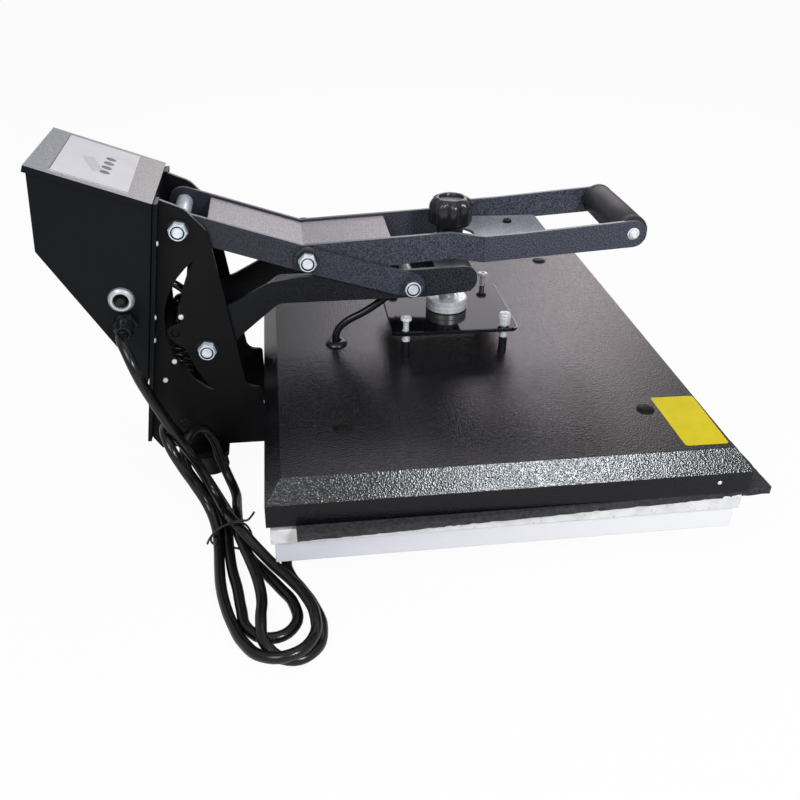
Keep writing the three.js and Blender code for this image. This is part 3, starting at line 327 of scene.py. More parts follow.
# The mains plug: a generic moulded body of black plastic with two round steel pins.
# The lead runs into its strain relief, which is a cone of soft ribs.
plug_low, plug_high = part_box("power_plug")
_, plug_y, plug_z = middle(plug_low, plug_high)
plug_length, plug_width, plug_height, plug_rounding = 0.038, 0.0354, 0.0234, 0.0062
pin_length, pin_offset = 0.018, 0.0095
pin_profile = [
    (0, -0.002), (0.0024, -0.002), (0.0024, pin_length - 0.0015), (0.0012, pin_length), (0, pin_length),
]
relief_length, relief_start, relief_fit_share = 0.020, 0.0004, 0.8
rib_count, rib_pitch, rib_width, rib_slope = 5, 0.004, 0.0026, 0.0002
rib_radius, rib_growth, rib_notch = 0.0054, 0.0003, 0.0009
plug_plastic = material(
    "plug_plastic", paint(27, 27, 29), {"Roughness": 0.5},
    lambda spot: {"Normal": bumpy(spot, cloudy(spot, 0.0008), 0.15, 0.0003)},
)
bright_metal = material(
    "bright_metal", paint(234, 236, 240), {"Metallic": 0.35, "Roughness": 0.24},
    lambda spot: {"Roughness": cloudy(spot, 0.004).steps(0.3, 0.7, 0.18, 0.36)},
)
bm = bmesh.new()
bmesh.ops.create_cube(bm, size=1, matrix=Matrix.Translation((
    plug_low[0] + relief_length + plug_length / 2, plug_y, plug_z,
)) @ Matrix.Diagonal((plug_length, plug_width, plug_height, 1)))
bmesh.ops.bevel(bm, geom=list(bm.edges), offset=plug_rounding, segments=5, affect="EDGES", profile=0.5)
for side in (-pin_offset, pin_offset):
    lathe(bm, pin_profile, (plug_high[0] - pin_length, plug_y + side, plug_z), (1, 0, 0), 20, 1)
relief_profile = [(lead_radius * relief_fit_share, relief_start)]
for rib in range(rib_count):
    grown, start = rib_radius + rib_growth * rib, relief_start + rib_pitch * rib
    relief_profile += [
        (grown, start), (grown, start + rib_width), (grown - rib_notch, start + rib_width + rib_slope),
    ]
relief_profile += [(0.0068, 0.0204), (0.004, 0.0204)]
lathe(bm, relief_profile, (plug_low[0], plug_y, plug_z), (1, 0, 0), 32)
plug = finished("mains_plug", bm, [plug_plastic, bright_metal], "frame")
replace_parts(lead, "power_cord", "cord_hank")
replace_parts(plug, "power_plug")


# The base frame: two cross bars, two folded side plates and a cross plate, of steel sheet
# in smooth black powder coat. Painted sheet keeps the shape of its CAD solid, and its sharp
# edges are eased a little, so that they catch the light. Their edges that face up, on the
# side plates, the arm and the lever bars, are painted light grey: a painted highlight.
eased_angle, highlight_tilt, highlight_height = 40, 0.5, 0.2


def dressed(node, look, body, edge=0.0005, angle=35, segments=2, upper=None):
    """A copy of a CAD solid with its edges eased, which stands for the node.
    upper is a painted highlight: the light look of its faces that face up, on the high pieces."""
    mesh = nodes[node].data.copy()
    mesh.materials.clear()
    mesh.materials.append(look)
    piece = bpy.data.objects.new(node + "_skin", mesh)
    bpy.context.collection.objects.link(piece)
    piece.matrix_world = nodes[node].matrix_world.copy()
    bm = bmesh.new()
    bm.from_mesh(mesh)
    bmesh.ops.remove_doubles(bm, verts=bm.verts, dist=1e-5)
    bmesh.ops.recalc_face_normals(bm, faces=bm.faces)
    bm.to_mesh(mesh)
    bm.free()
    for face in mesh.polygons:
        face.material_index = 0
    smoothed(piece, angle)
    if edge:
        bevel = piece.modifiers.new("edge", "BEVEL")
        bevel.width, bevel.segments, bevel.angle_limit = edge, segments, math.radians(eased_angle)
        bevel.use_clamp_overlap = True
        bpy.ops.object.modifier_apply(modifier=bevel.name)
        flat = piece.modifiers.new("flat", "WEIGHTED_NORMAL")
        flat.keep_sharp, flat.weight = True, 100
        bpy.ops.object.modifier_apply(modifier=flat.name)
    if upper:
        mesh.materials.append(upper)
        for face in mesh.polygons:
            face.material_index = int(face.normal.z > highlight_tilt and face.center.z > highlight_height)
    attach(piece, body)
    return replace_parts(piece, node)


powder_black = material(
    "powder_black", paint(11, 11, 12), {"Roughness": 0.36, "Specular IOR Level": 0.16},
    lambda spot: {
        "Normal": bumpy(spot, cloudy(spot, 0.0016), 0.16, 0.0004),
        "Roughness": cloudy(spot, 0.03).steps(0.3, 0.7, 0.36, 0.5),
    },
)
# A painted highlight: the light grey of the edges that face up on the high plates.
painted_edge_highlight = material("painted_edge_highlight", paint(104, 106, 112), {"Roughness": 0.3})
for node in ("rear_crossbar", "front_crossbar", "frame_cross_plate"):
    dressed(node, powder_black, "frame")
for node in ("side_plate_left", "side_plate_right"):
    dressed(node, powder_black, "frame", upper=painted_edge_highlight)


# Rubber feet: four turned cones under the ends of the cross bars.
# Each is moulded with a recess, where the screw that holds it goes in.
foot_profile = [
    (0, 0.004), (0.006, 0.004), (0.006, 0), (0.0165, 0), (0.0179, 0.0015), (0.0150, 0.0246),
    (0.0142, 0.0254), (0, 0.0254),
]
foot_rubber = material(
    "foot_rubber", paint(30, 30, 31), {"Roughness": 0.7},
    lambda spot: {"Normal": bumpy(spot, cloudy(spot, 0.001), 0.2, 0.0003)},
)
for node in ("foot_rear_left", "foot_rear_right", "foot_front_left", "foot_front_right"):
    x, y, _ = middle(*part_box(node))
    bm = bmesh.new()
    lathe(bm, foot_profile, (x, y, 0))
    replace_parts(finished(node + "_rubber", bm, foot_rubber, "frame"), node)

# Small zinc screws with round heads hold the folded plates to the frame.
# Three are in each side plate, and three in each plate's rear flange.
bolt_zinc = material(
    "bolt_zinc", paint(226, 233, 242), {"Metallic": 0.25, "Roughness": 0.22},
    lambda spot: {
        "Base Color": cloudy(spot, 0.006).steps(0.35, 0.65).mixed(
            paint(204, 216, 232), paint(236, 240, 243),
        ),
        "Normal": bumpy(spot, cloudy(spot, 0.0009), 0.1, 0.0002),
    },
)
# Bright screw heads; on the rear web and the support plate the same white is a painted highlight.
bright_screws_and_highlights = material("bright_screws_and_highlights", paint(236, 236, 238), {"Metallic": 0.2, "Roughness": 0.35})
screw_head = [
    (0, 0.0014), (0.0012, 0.0018), (0.0022, 0.0013), (0.0026, 0.0004), (0.0026, -0.0006), (0, -0.0006),
]
plate_face, plate_screws = 0.0421, ((-0.1949, 0.1775), (-0.2058, 0.1304), (-0.2164, 0.1104))
flange_middle, flange_screws = 0.0532, ((-0.2073, 0.2555), (-0.2172, 0.1835), (-0.2203, 0.1600))
bm = bmesh.new()
for x, z in plate_screws:
    for side in (-1, 1):
        lathe(bm, screw_head, (x, side * plate_face, z), (0, side, 0), 16)
for x, z in flange_screws:
    for side in (-1, 1):
        lathe(bm, screw_head, (x, side * flange_middle, z), (1, 0, 0), 16)
finished("frame_screws", bm, bright_screws_and_highlights, "frame")

# The spring anchor rod, painted over, and the two return springs on the arm's tail: steel wire.
# As the press opens the tail sinks; here each spring is cut into a foot, a coil and a head, all fixed to the
# frame.
spring_wire = material("spring_wire", paint(58, 59, 62), {"Metallic": 0.8, "Roughness": 0.3})
dressed("spring_anchor_rod", powder_black, "frame", 0.0006)
coil_low, coil_high, above_all = 0.067, 0.151, 1
cut_gap, far_below = 0.00002, 4.0
for side in ("left", "right"):
    spring = nodes["return_spring_" + side]
    for part, low, high in (
        ("foot", 0, coil_low), ("coil", coil_low, coil_high), ("head", coil_high, above_all),
    ):
        bm = bmesh.new()
        bm.from_mesh(spring.data)
        bm.transform(spring.matrix_world)
        for height, up in ((low + cut_gap, -1), (high - cut_gap, 1)):
            bmesh.ops.bisect_plane(
                bm, geom=bm.verts[:] + bm.edges[:] + bm.faces[:], dist=1e-6,
                plane_co=(0, 0, height), plane_no=(0, 0, up), clear_outer=True,
            )
        piece = finished(f"return_spring_{side}_{part}", bm, spring_wire, "frame", 50)
        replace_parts(piece, spring.name)
        if part == "coil":
            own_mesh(piece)
        if part == "head":
            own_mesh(piece)

# The control box: folded steel sheet in smooth satin black, behind the side plates.
# It is open above, where the lid closes it.
box_paint = material(
    "box_paint", paint(14, 17, 21), {"Roughness": 0.34, "Specular IOR Level": 0.13},
    lambda spot: {
        "Normal": bumpy(spot, cloudy(spot, 0.0022), 0.1, 0.0004),
        "Roughness": cloudy(spot, 0.05).steps(0.3, 0.7, 0.30, 0.44),
    },
)
dressed("control_box", box_paint, "frame", 0.0008)

# The control panel: the lid of the box, folded sheet in fine pale grey hammertone above and
# black below. The green circuit board is fixed under it.
lid_rear, lid_front, lid_tilt = -0.31, -0.20, 0.45
# Its grey grows darker and bluer towards the rear: painted shade.
lid_paint_and_shade = material(
    "lid_paint_and_shade", paint(168, 166, 166), {"Roughness": 0.4, "Specular IOR Level": 0.4},
    lambda spot: {
        "Base Color": cloudy(spot, 0.0012, 3.0).steps(0.36, 0.64).mixed(
            graded(spot, lid_rear, lid_front).mixed(paint(132, 132, 142), paint(160, 156, 156)),
            graded(spot, lid_rear, lid_front).mixed(paint(176, 176, 184), paint(208, 202, 200)),
        ),
        "Normal": bumpy(spot, cloudy(spot, 0.0012), 0.4, 0.0004),
    },
)
lid = dressed("control_panel", lid_paint_and_shade, "frame", 0.0007)
lid.data.materials.append(box_paint)
for face in lid.data.polygons:
    face.material_index = 0 if face.normal.z > lid_tilt else 1
green_board = material("green_board", paint(36, 92, 58), {"Roughness": 0.45})
dressed("circuit_board", green_board, "frame", 0)

# The panel's overlay: a thin printed film on the lid, left blank.
# It is punched with four round holes for the buttons.
lid_run, lid_rise, lid_thickness = 0.097, 0.035, 0.0018
slope = Vector((-lid_run, 0, lid_rise)).normalized()
lid_out = Vector((lid_rise, 0, lid_run)).normalized()
lid_corner = Vector((-0.2062, 0, 0.2927)) + lid_thickness * lid_out
overlay_thickness, overlay_lift = 0.0005, 0.00005
overlay_corners = [(0.0211, -0.054), (0.0862, -0.054), (0.0885, 0.054), (0.0240, 0.054)]
button_count, button_pitch, button_up = 4, 0.0130, 0.0460
hole_profile = [(0, -0.003), (0.0046, -0.003), (0.0046, 0.003), (0, 0.003)]
overlay_film = material(
    "overlay_film", paint(214, 212, 217), {"Roughness": 0.3},
    lambda spot: {"Base Color": cloudy(spot, 0.02).steps(0.3, 0.7).mixed(
        paint(228, 226, 232), paint(236, 233, 237),
    )},
)
overlay_edge = material("overlay_edge", paint(104, 104, 122), {"Roughness": 0.35})


def film(bm, corners, lift, mark=0):
    """A flat sheet on the lid, from its corners up the slope and across."""
    plan = [lid_corner + up * slope + Vector((0, across, 0)) + lift * lid_out for up, across in corners]
    face = bm.faces.new([bm.verts.new(point) for point in plan])
    face.material_index = mark
    raised = bmesh.ops.extrude_face_region(bm, geom=[face])["geom"]
    tops = [item for item in raised if isinstance(item, bmesh.types.BMVert)]
    bmesh.ops.translate(bm, verts=tops, vec=overlay_thickness * lid_out)
    for top in tops:
        for each in top.link_faces:
            each.material_index = mark


def cutout(piece, tool):
    """Cuts the tool's shape out of the piece and removes the tool."""
    bpy.context.view_layer.objects.active = piece
    cut = piece.modifiers.new("cut", "BOOLEAN")
    cut.operation, cut.solver, cut.object = "DIFFERENCE", "EXACT", tool
    bpy.ops.object.modifier_apply(modifier=cut.name)
    bpy.data.objects.remove(tool)


bm = bmesh.new()
film(bm, overlay_corners, overlay_lift)
bmesh.ops.recalc_face_normals(bm, faces=bm.faces)
overlay = placed("panel_overlay", bm)
overlay.data.materials.append(overlay_film)
bm = bmesh.new()
for button in range(button_count):
    across = (button - (button_count - 1) / 2) * button_pitch
    lathe(bm, hole_profile, lid_corner + button_up * slope + Vector((0, across, 0)), lid_out, 32)
bmesh.ops.remove_doubles(bm, verts=bm.verts, dist=1e-7)
bmesh.ops.recalc_face_normals(bm, faces=bm.faces)
cutout(overlay, placed("drill", bm))
smoothed(overlay, 30)
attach(overlay, "frame")

# Blank fields of the overlay: the display's window, and thin lines along two of its edges.
# They are printed, so they lie almost flat on the film.
low_lift, high_lift = 0.00012, 0.00020
window_film = material("window_film", paint(214, 210, 219), {"Roughness": 0.2})
bm = bmesh.new()
for corners, lift, mark in (
    ([(0.0545, -0.026), (0.0555, -0.026), (0.0690, 0.004), (0.0680, 0.004)], high_lift, 0),
    ([(0.0545, -0.026), (0.0690, 0.004), (0.0600, 0.011), (0.0470, -0.018)], low_lift, 0),
    ([(0.0853, -0.0537), (0.0862, -0.0537), (0.0884, 0.0537), (0.0875, 0.0537)], low_lift, 1),
    ([(0.0213, -0.0539), (0.0853, -0.0539), (0.0853, -0.0531), (0.0213, -0.0531)], low_lift, 1),
):
    film(bm, corners, lift, mark)
finished("overlay_fields", bm, [window_film, overlay_edge], "frame", 30)

# Four panel buttons: small grey domed caps of plastic.
# Each is pressed by itself, through its hole in the overlay.
button_plastic = material("button_plastic", paint(126, 123, 130), {"Roughness": 0.4})
for number in range(1, button_count + 1):
    node = f"panel_button_{number}"
    dressed(node, button_plastic, f"button_{number}", 0.0006, 40, 3)

# The overload breaker: a bright turned ring round a recess with a black reset button.
# Its square plastic body is inside the box, behind the left wall.
box_wall, into_box = -0.0600, 0.0240
ring_profile = [
    (0.0042, into_box), (0.0042, 0.0), (0.0042, -0.0022), (0.0066, -0.0034), (0.0074, -0.0048),
    (0.0092, -0.0050), (0.0112, -0.0030), (0.0118, -0.0006), (0.0118, 0.0001), (0.0073, 0.0001),
    (0.0073, into_box), (0.0042, into_box),
]
recess_radius, ring_back = 0.0060, 0.0005
ring_white = material("ring_white", paint(214, 216, 220), {"Metallic": 0.75, "Roughness": 0.3})
dark_plastic = material(
    "dark_plastic", paint(19, 20, 22), {"Roughness": 0.3, "Specular IOR Level": 0.4},
    lambda spot: {"Normal": bumpy(spot, cloudy(spot, 0.0009), 0.12, 0.0003)},
)
x, _, z = middle(*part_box("breaker_body"))
breaker_spot = Vector((x, box_wall, z))
bm = bmesh.new()
lathe(bm, ring_profile, breaker_spot, (0, 1, 0), 56)
for face in bm.faces:
    spot = face.calc_center_median() - breaker_spot
    face.material_index = int(math.hypot(spot.x, spot.z) < recess_radius or spot.y > ring_back)
prism(bm, 4, 0.0125, 0.020, breaker_spot + Vector((0, 0.004, 0)), (0, 1, 0), math.pi / 4, 0.0008, 1)
breaker = finished("breaker_ring", bm, [ring_white, dark_plastic], "frame", 30)
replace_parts(breaker, "breaker_body")
low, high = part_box("breaker_button")
x, _, z = middle(low, high)
stem = high[1] - low[1]
bm = bmesh.new()
lathe(
    bm, [(0, 0), (0.0026, 0.0001), (0.0036, 0.0006), (0.0040, 0.0014), (0.0040, stem), (0, stem)],
    (x, low[1], z), (0, 1, 0), 32,
)
reset = finished("reset_button", bm, dark_plastic, "breaker_reset")
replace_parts(reset, "breaker_button")

# The cable gland: a black plastic hexagon against the box, and a dome nut with eight ribs
# that is screwed on it and grips the lead.
gland_face, rib_face = -0.0603, -0.0678
dome_profile = [
    (0.0050, 0.0070), (0.0086, 0.0070), (0.0088, 0.0078), (0.0088, 0.0150), (0.0083, 0.0185),
    (0.0074, 0.0218), (0.0068, 0.0248), (0.0060, 0.0252), (0.0050, 0.0252), (0.0050, 0.0070),
]
neck_profile = [(0, 0), (0.0073, 0), (0.0073, 0.0088), (0, 0.0088)]
dome_ribs, rib_circle = 8, 0.0084
gland_x, _, gland_z = middle(*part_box("cord_gland"))
bm = bmesh.new()
prism(bm, 6, 0.0110, 0.0074, (gland_x, gland_face, gland_z), (0, -1, 0), math.pi / 6, 0.0008)
lathe(bm, dome_profile, (gland_x, gland_face, gland_z), (0, -1, 0), 40)
for rib in range(dome_ribs):
    turn = math.tau * rib / dome_ribs
    prism(bm, 6, 0.0011, 0.0085, (
        gland_x + rib_circle * math.cos(turn), rib_face, gland_z + rib_circle * math.sin(turn),
    ), (0, -1, 0), 0, 0.0003)
lathe(bm, neck_profile, (gland_x, box_wall, gland_z), (0, 1, 0), 32)
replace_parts(finished("lead_gland", bm, dark_plastic, "frame"), "cord_gland")

# The mains switch: a black plastic bezel that is clipped into the right wall of the box,
# and a glossy rocker that tilts in it.
gloss_plastic = material("gloss_plastic", paint(22, 22, 24), {"Roughness": 0.16})
dressed("switch_housing", dark_plastic, "frame", 0.0006)
dressed("switch_rocker", gloss_plastic, "mains_rocker", 0.0006)


# The arm, the lever's bars and the links: steel plate in hammertone,
# a thick glossy paint that dries in small dimples with bright specks.
def hammertone(name, dark, light, size, depth, roughness, shine=0.35, strength=0.55, rear_shade_span=(-1, -0.9)):
    """Paint whose light specks die out towards the rear between two given x places: a painted shade."""
    def vary(spot):
        cells = spot.node(
            "ShaderNodeTexVoronoi", {"feature": "SMOOTH_F1"},
            {"Vector": spot, "Scale": 1 / size, "Smoothness": 0.8},
        )
        height = cells * 0.75 + cloudy(spot, size * 0.8) * 0.5
        return {
            "Base Color": (cloudy(spot, size).steps(0.42, 0.62) * graded(spot, *rear_shade_span)).mixed(dark, light),
            "Normal": bumpy(spot, height, strength, depth),
        }
    return material(name, light, {"Roughness": roughness, "Specular IOR Level": shine}, vary)


# Painted shade: the arm's paint is darker than the lever's, and on both the specks die out towards the rear.
shaded_arm_paint = hammertone(
    "arm_hammertone", paint(14, 15, 18), paint(60, 62, 72), 0.0012, 0.0005, 0.3, 0.2, rear_shade_span=(-0.16, 0.08),
)
lever_paint = hammertone(
    "lever_hammertone", paint(40, 41, 49), paint(90, 92, 107), 0.0011, 0.0004, 0.32, 0.25, rear_shade_span=(-0.2, 0.08),
)
# Their edges that face up are painted light grey, a painted highlight.
for node in ("arm_plate_left", "arm_plate_right", "screw_block"):
    dressed(node, shaded_arm_paint, "arm", 0.0008, upper=painted_edge_highlight)
for node in ("lever_bar_left", "lever_bar_right"):
    dressed(node, lever_paint, "lever", 0.0008, upper=painted_edge_highlight)
for node in ("link_plate_left", "link_plate_right"):
    dressed(node, lever_paint, "links", 0.0007)

# The lever's two webs: bent plates, welded between the bars, whose tops face the light.
# Their black hammertone is given a light grey: a painted reflection of the bright surroundings.
# One small black screw stands in the front web.
web_screw_spot = (0.1322, 0.0299, 0.2355)
web_screw_profile = [
    (0, 0.0034), (0.0026, 0.0034), (0.0040, 0.0026), (0.0044, 0.0010), (0.0044, 0), (0, 0),
]
web_painted_reflection = hammertone(
    "web_hammertone", paint(140, 132, 136), paint(182, 176, 182), 0.0012, 0.0004, 0.32,
)
front_web_painted_reflection = hammertone(
    "front_web_hammertone", paint(118, 118, 128), paint(176, 176, 186), 0.0012, 0.0005, 0.32,
)
web = dressed("lever_rear_web", web_painted_reflection, "lever", 0.0008)
# Its faces towards the front are painted white: a painted highlight.
web.data.materials.append(bright_screws_and_highlights)
for face in web.data.polygons:
    face.material_index = int(face.normal.x > 0.7)
dressed("lever_front_web", front_web_painted_reflection, "lever", 0.0006)
bm = bmesh.new()
lathe(bm, web_screw_profile, web_screw_spot, steps=32)
finished("web_screw", bm, dark_plastic, "lever")

# Pivot bolts: zinc shafts with a black washer and a lock nut at each end, the bolt's end showing.
# A spacer tube on each of the two frame bolts keeps the side plates apart.
nut_flats, nut_height, washer = 0.0152, 0.0066, 0.0010
washer_profile = [(0.006, 0), (0.0096, 0), (0.0096, washer), (0.006, washer)]
nut_ends = (
    ([(0.0062, 0.0070), (0.0075, 0.0070), (0.0077, 0.0092), (0.0072, 0.0100), (0.0063, 0.0100)], 0),
    ([(0.0063, 0.0100), (0.0060, 0.0082), (0.0052, 0.0082), (0.0050, 0.0096)], 1),
    ([(0.0050, 0.0096), (0.0045, 0.0101), (0, 0.0102)], 0),
)


def nut(bm, spot, side, twist=0.3):
    """A black washer, a lock nut, its round collar and the bolt's end in a dark groove."""
    x, y, z = spot
    lathe(bm, washer_profile, spot, (0, side, 0), 32, 1)
    prism(
        bm, 6, nut_flats / math.sqrt(3), nut_height, (x, y + side * washer, z), (0, side, 0), twist, 0.0008,
    )
    for profile, mark in nut_ends:
        lathe(bm, profile, spot, (0, side, 0), 32, mark)


bolt_looks = [bolt_zinc, dark_plastic]
shaft_profile = [(0, -0.0440), (0.0059, -0.0440), (0.0059, 0.0440), (0, 0.0440)]
tube_inside, tube_outside = 0.0058, 0.0078
for node, body, tube_end, nut_face in (
    ("lever_pivot_bolt", "frame", 0.0327, 0.0423), ("arm_pivot_bolt", "frame", 0.0327, 0.0423),
    ("link_bolt", "lever", 0.0, 0.0418),
):
    x, _, z = middle(*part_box(node))
    bm = bmesh.new()
    lathe(bm, shaft_profile, (x, 0, z), (0, 1, 0), 32)
    if tube_end:
        lathe(bm, [
            (tube_inside, -tube_end), (tube_outside, -tube_end), (tube_outside, tube_end),
            (tube_inside, tube_end),
        ], (x, 0, z), (0, 1, 0), 40)
    for side in (-1, 1):
        nut(bm, (x, side * nut_face, z), side)
    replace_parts(finished(node + "_set", bm, bolt_looks, body, 30), node)

# Nuts on the front pivots of the links: zinc lock nuts like those on the bolts.
# They turn with the links.
link_x, link_z, link_face = 0.02343, 0.2000, 0.0417
bm = bmesh.new()
for side in (-1, 1):
    nut(bm, (link_x, side * link_face, link_z), side, 0.5)
finished("link_nuts", bm, bolt_looks, "links", 30)

# The toggle shaft and the spring pin: steel bars through the arm's two plates.
# The shaft is zinc, and the pin is painted over.
dressed("toggle_shaft", bolt_zinc, "arm", 0.0006)
dressed("spring_pin", powder_black, "arm", 0.0006)

# The grip: a smooth dark rubber tube with a groove near each end.
# A bolt with round heads holds it between the lever's bars.
grip_rubber = material(
    "grip_rubber", paint(44, 44, 50), {"Roughness": 0.5, "Specular IOR Level": 0.35},
    lambda spot: {"Normal": bumpy(spot, cloudy(spot, 0.0012), 0.12, 0.0003)},
)
low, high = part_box("grip")
grip_x, _, grip_z = middle(low, high)
grip_end, grip_bore = high[1], 0.0062
half = [
    (0.0160, 0.012), (0.0158, grip_end - 0.0072), (0.0152, grip_end - 0.0060),
    (0.0160, grip_end - 0.0055), (0.0158, grip_end - 0.0012), (0.0145, grip_end), (grip_bore, grip_end),
]
bm = bmesh.new()
lathe(
    bm, [(radius, -height) for radius, height in reversed(half)] + half + [(grip_bore, -grip_end)],
    (grip_x, 0, grip_z), (0, 1, 0), 64,
)
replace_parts(finished("grip_tube", bm, grip_rubber, "lever"), "grip")
grip_shaft = [(0, -0.0552), (0.0058, -0.0552), (0.0058, 0.0552), (0, 0.0552)]
head_height = 0.0042
head_profile = [
    (0, 0.0034), (0.0020, 0.0034), (0.0022, 0.0040), (0.0034, 0.0036), (0.0044, 0.0026), (0.0048, 0.0008),
    (0.0048, 0), (0, 0),
]
low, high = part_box("grip_bolt")
bm = bmesh.new()
lathe(bm, grip_shaft, (grip_x, 0, grip_z), (0, 1, 0), 32)
for side in (-1, 1):
    lathe(bm, head_profile, (grip_x, side * (high[1] - head_height), grip_z), (0, side, 0), 40)
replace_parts(finished("grip_bolt_set", bm, bright_screws_and_highlights, "lever", 30), "grip_bolt")

# The lower tray and platen, and the heat platen above them: aluminium that looks nearly white.
# The tray is folded sheet, and the platens are cast plates with a fine grain.
# The tray's colour grows darker and bluer towards the rear: painted shade.
tray_metal_and_shade = material(
    "tray_metal_and_shade", paint(234, 229, 226), {"Metallic": 0.1, "Roughness": 0.38},
    lambda spot: {
        "Base Color": graded(spot, -0.1, 0.25).mixed(paint(212, 210, 218), paint(238, 236, 236)),
        "Roughness": cloudy(spot, 0.02).steps(0.3, 0.7, 0.30, 0.46),
    },
)
platen_metal = material(
    "platen_metal", paint(228, 227, 228), {"Metallic": 0.3, "Roughness": 0.34},
    lambda spot: {
        "Base Color": cloudy(spot, 0.012, 3.0).steps(0.35, 0.65).mixed(
            paint(216, 214, 214), paint(236, 234, 234),
        ),
        "Roughness": cloudy(spot, 0.006).steps(0.3, 0.7, 0.26, 0.42),
    },
)
dressed("lower_tray", tray_metal_and_shade, "frame", 0.0009)
dressed("lower_platen", platen_metal, "frame", 0.0006)
dressed("heat_platen", platen_metal, "upper_platen", 0.0006)

# The silicone pad: a soft dark sponge sheet that lies loose on the lower platen, a little turned.
# Its cut edges are ragged, and it sags where it hangs over at the front.
pad_middle, pad_turn = Vector((0.09603, -0.0023)), math.radians(2.1)
pad_size, pad_bottom, pad_top = Vector((0.406, 0.508)), 0.0870, 0.0919
edge_share, edge_wear, top_dip, skin = 0.99, 0.0010, 0.0002, 0.001
hang_from, hang_rate, hang, hang_wear = -0.2515, 900, 0.0022, 0.0013
sponge = material(
    "sponge", paint(44, 43, 45), {"Roughness": 0.9},
    lambda spot: {
        "Base Color": cloudy(spot, 0.004, 4.0).steps(0.35, 0.65).mixed(
            paint(32, 31, 33), paint(56, 54, 57),
        ),
        "Normal": bumpy(spot, cloudy(spot, 0.0025, 4.0), 0.8, 0.0012),
    },
)
bm = bmesh.new()
bmesh.ops.create_grid(bm, x_segments=100, y_segments=124, size=0.5)
for vert in bm.verts:
    vert.co = Vector((vert.co.x * pad_size.x, vert.co.y * pad_size.y, pad_top))
under = bmesh.ops.extrude_face_region(bm, geom=list(bm.faces))["geom"]
lower = [item for item in under if isinstance(item, bmesh.types.BMVert)]
bmesh.ops.translate(bm, verts=lower, vec=(0, 0, pad_bottom - pad_top))
for vert in bm.verts:
    reach = max(abs(vert.co.x) / pad_size.x, abs(vert.co.y) / pad_size.y) * 2
    ragged = noise.noise(vert.co * 130) + 0.6 * noise.noise(vert.co * 420)
    if reach > edge_share:
        vert.co.x -= math.copysign(max(0, ragged) * edge_wear, vert.co.x)
        vert.co.y -= math.copysign(max(0, ragged) * edge_wear, vert.co.y)
    if vert.co.z < pad_top - skin and vert.co.y < hang_from:
        vert.co.z -= max(0, hang + hang_wear * ragged) * min(1, (hang_from - vert.co.y) * hang_rate)
    elif vert.co.z > pad_top - skin:
        vert.co.z += top_dip * min(0, noise.noise(vert.co * 60))
turn = Matrix.Translation((*pad_middle, 0)) @ Matrix.Rotation(pad_turn, 4, "Z")
bmesh.ops.transform(bm, matrix=turn, verts=bm.verts)
pad = finished("sponge_pad", bm, sponge, "frame", 40)
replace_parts(pad, "silicone_pad")

# The insulation: a pale fibre blanket on the heat platen, under the cover.
# It is seen only at the cover's edge.
fibre = material(
    "fibre", paint(206, 200, 186), {"Roughness": 0.95},
    lambda spot: {"Normal": bumpy(spot, cloudy(spot, 0.003, 4.0), 0.7, 0.0012)},
)
dressed("insulation_blanket", fibre, "upper_platen", 0)

# The cover: pressed sheet in deep black hammertone, with a sloping border and a lip.
# The slope shines more than the top, and its paint is darker and a little bluer; the lip's is darker still:
# painted shade.
dimple, dimple_depth, upright_tilt, slope_tilt = 0.0013, 0.00042, 0.3, 0.9
cover_paint = hammertone(
    "cover_hammertone", paint(10, 10, 12), paint(34, 31, 36), dimple, dimple_depth, 0.17, 0.5, 0.7,
)
slope_painted_shade = hammertone(
    "slope_hammertone", paint(4, 4, 6), paint(18, 20, 27), dimple, dimple_depth, 0.17, 0.7, 0.7,
)
lip_painted_shade = hammertone(
    "lip_hammertone", paint(5, 5, 6), paint(15, 14, 17), dimple, dimple_depth, 0.25, 0.25, 0.7,
)
cover = dressed("cover", cover_paint, "upper_platen", 0.0012, 30, 3)
cover.data.materials.append(lip_painted_shade)
cover.data.materials.append(slope_painted_shade)
for face in cover.data.polygons:
    face.material_index = 1 if abs(face.normal.z) < upright_tilt else 2 if face.normal.z < slope_tilt else 0

# Four domed plastic plugs close the cover's screw holes.
# One small bright rivet sits on the front of its lip.
cover_x, cover_top = (cover_low[0] + cover_high[0]) / 2, cover_high[2]
plug_x, plug_y = 0.136, 0.174
cap_profile = [
    (0, 0.0022), (0.0040, 0.0019), (0.0066, 0.0012), (0.0072, 0.0005), (0.0082, 0.0004),
    (0.0085, -0.0002), (0, -0.0002),
]
rivet_spot = (0.2560, -0.2530, 0.1040)
rivet_profile = [(0, 0.0008), (0.0013, 0.0006), (0.0019, 0), (0.0019, -0.0004), (0, -0.0004)]
bm = bmesh.new()
for x in (-plug_x, plug_x):
    for y in (-plug_y, plug_y):
        lathe(bm, cap_profile, (cover_x + x, y, cover_top), steps=36)
finished("cover_plugs", bm, powder_black, "upper_platen")
bm = bmesh.new()
lathe(bm, rivet_profile, rivet_spot, (0, -1, 0), 16)
finished("lip_rivet", bm, bright_metal, "upper_platen")

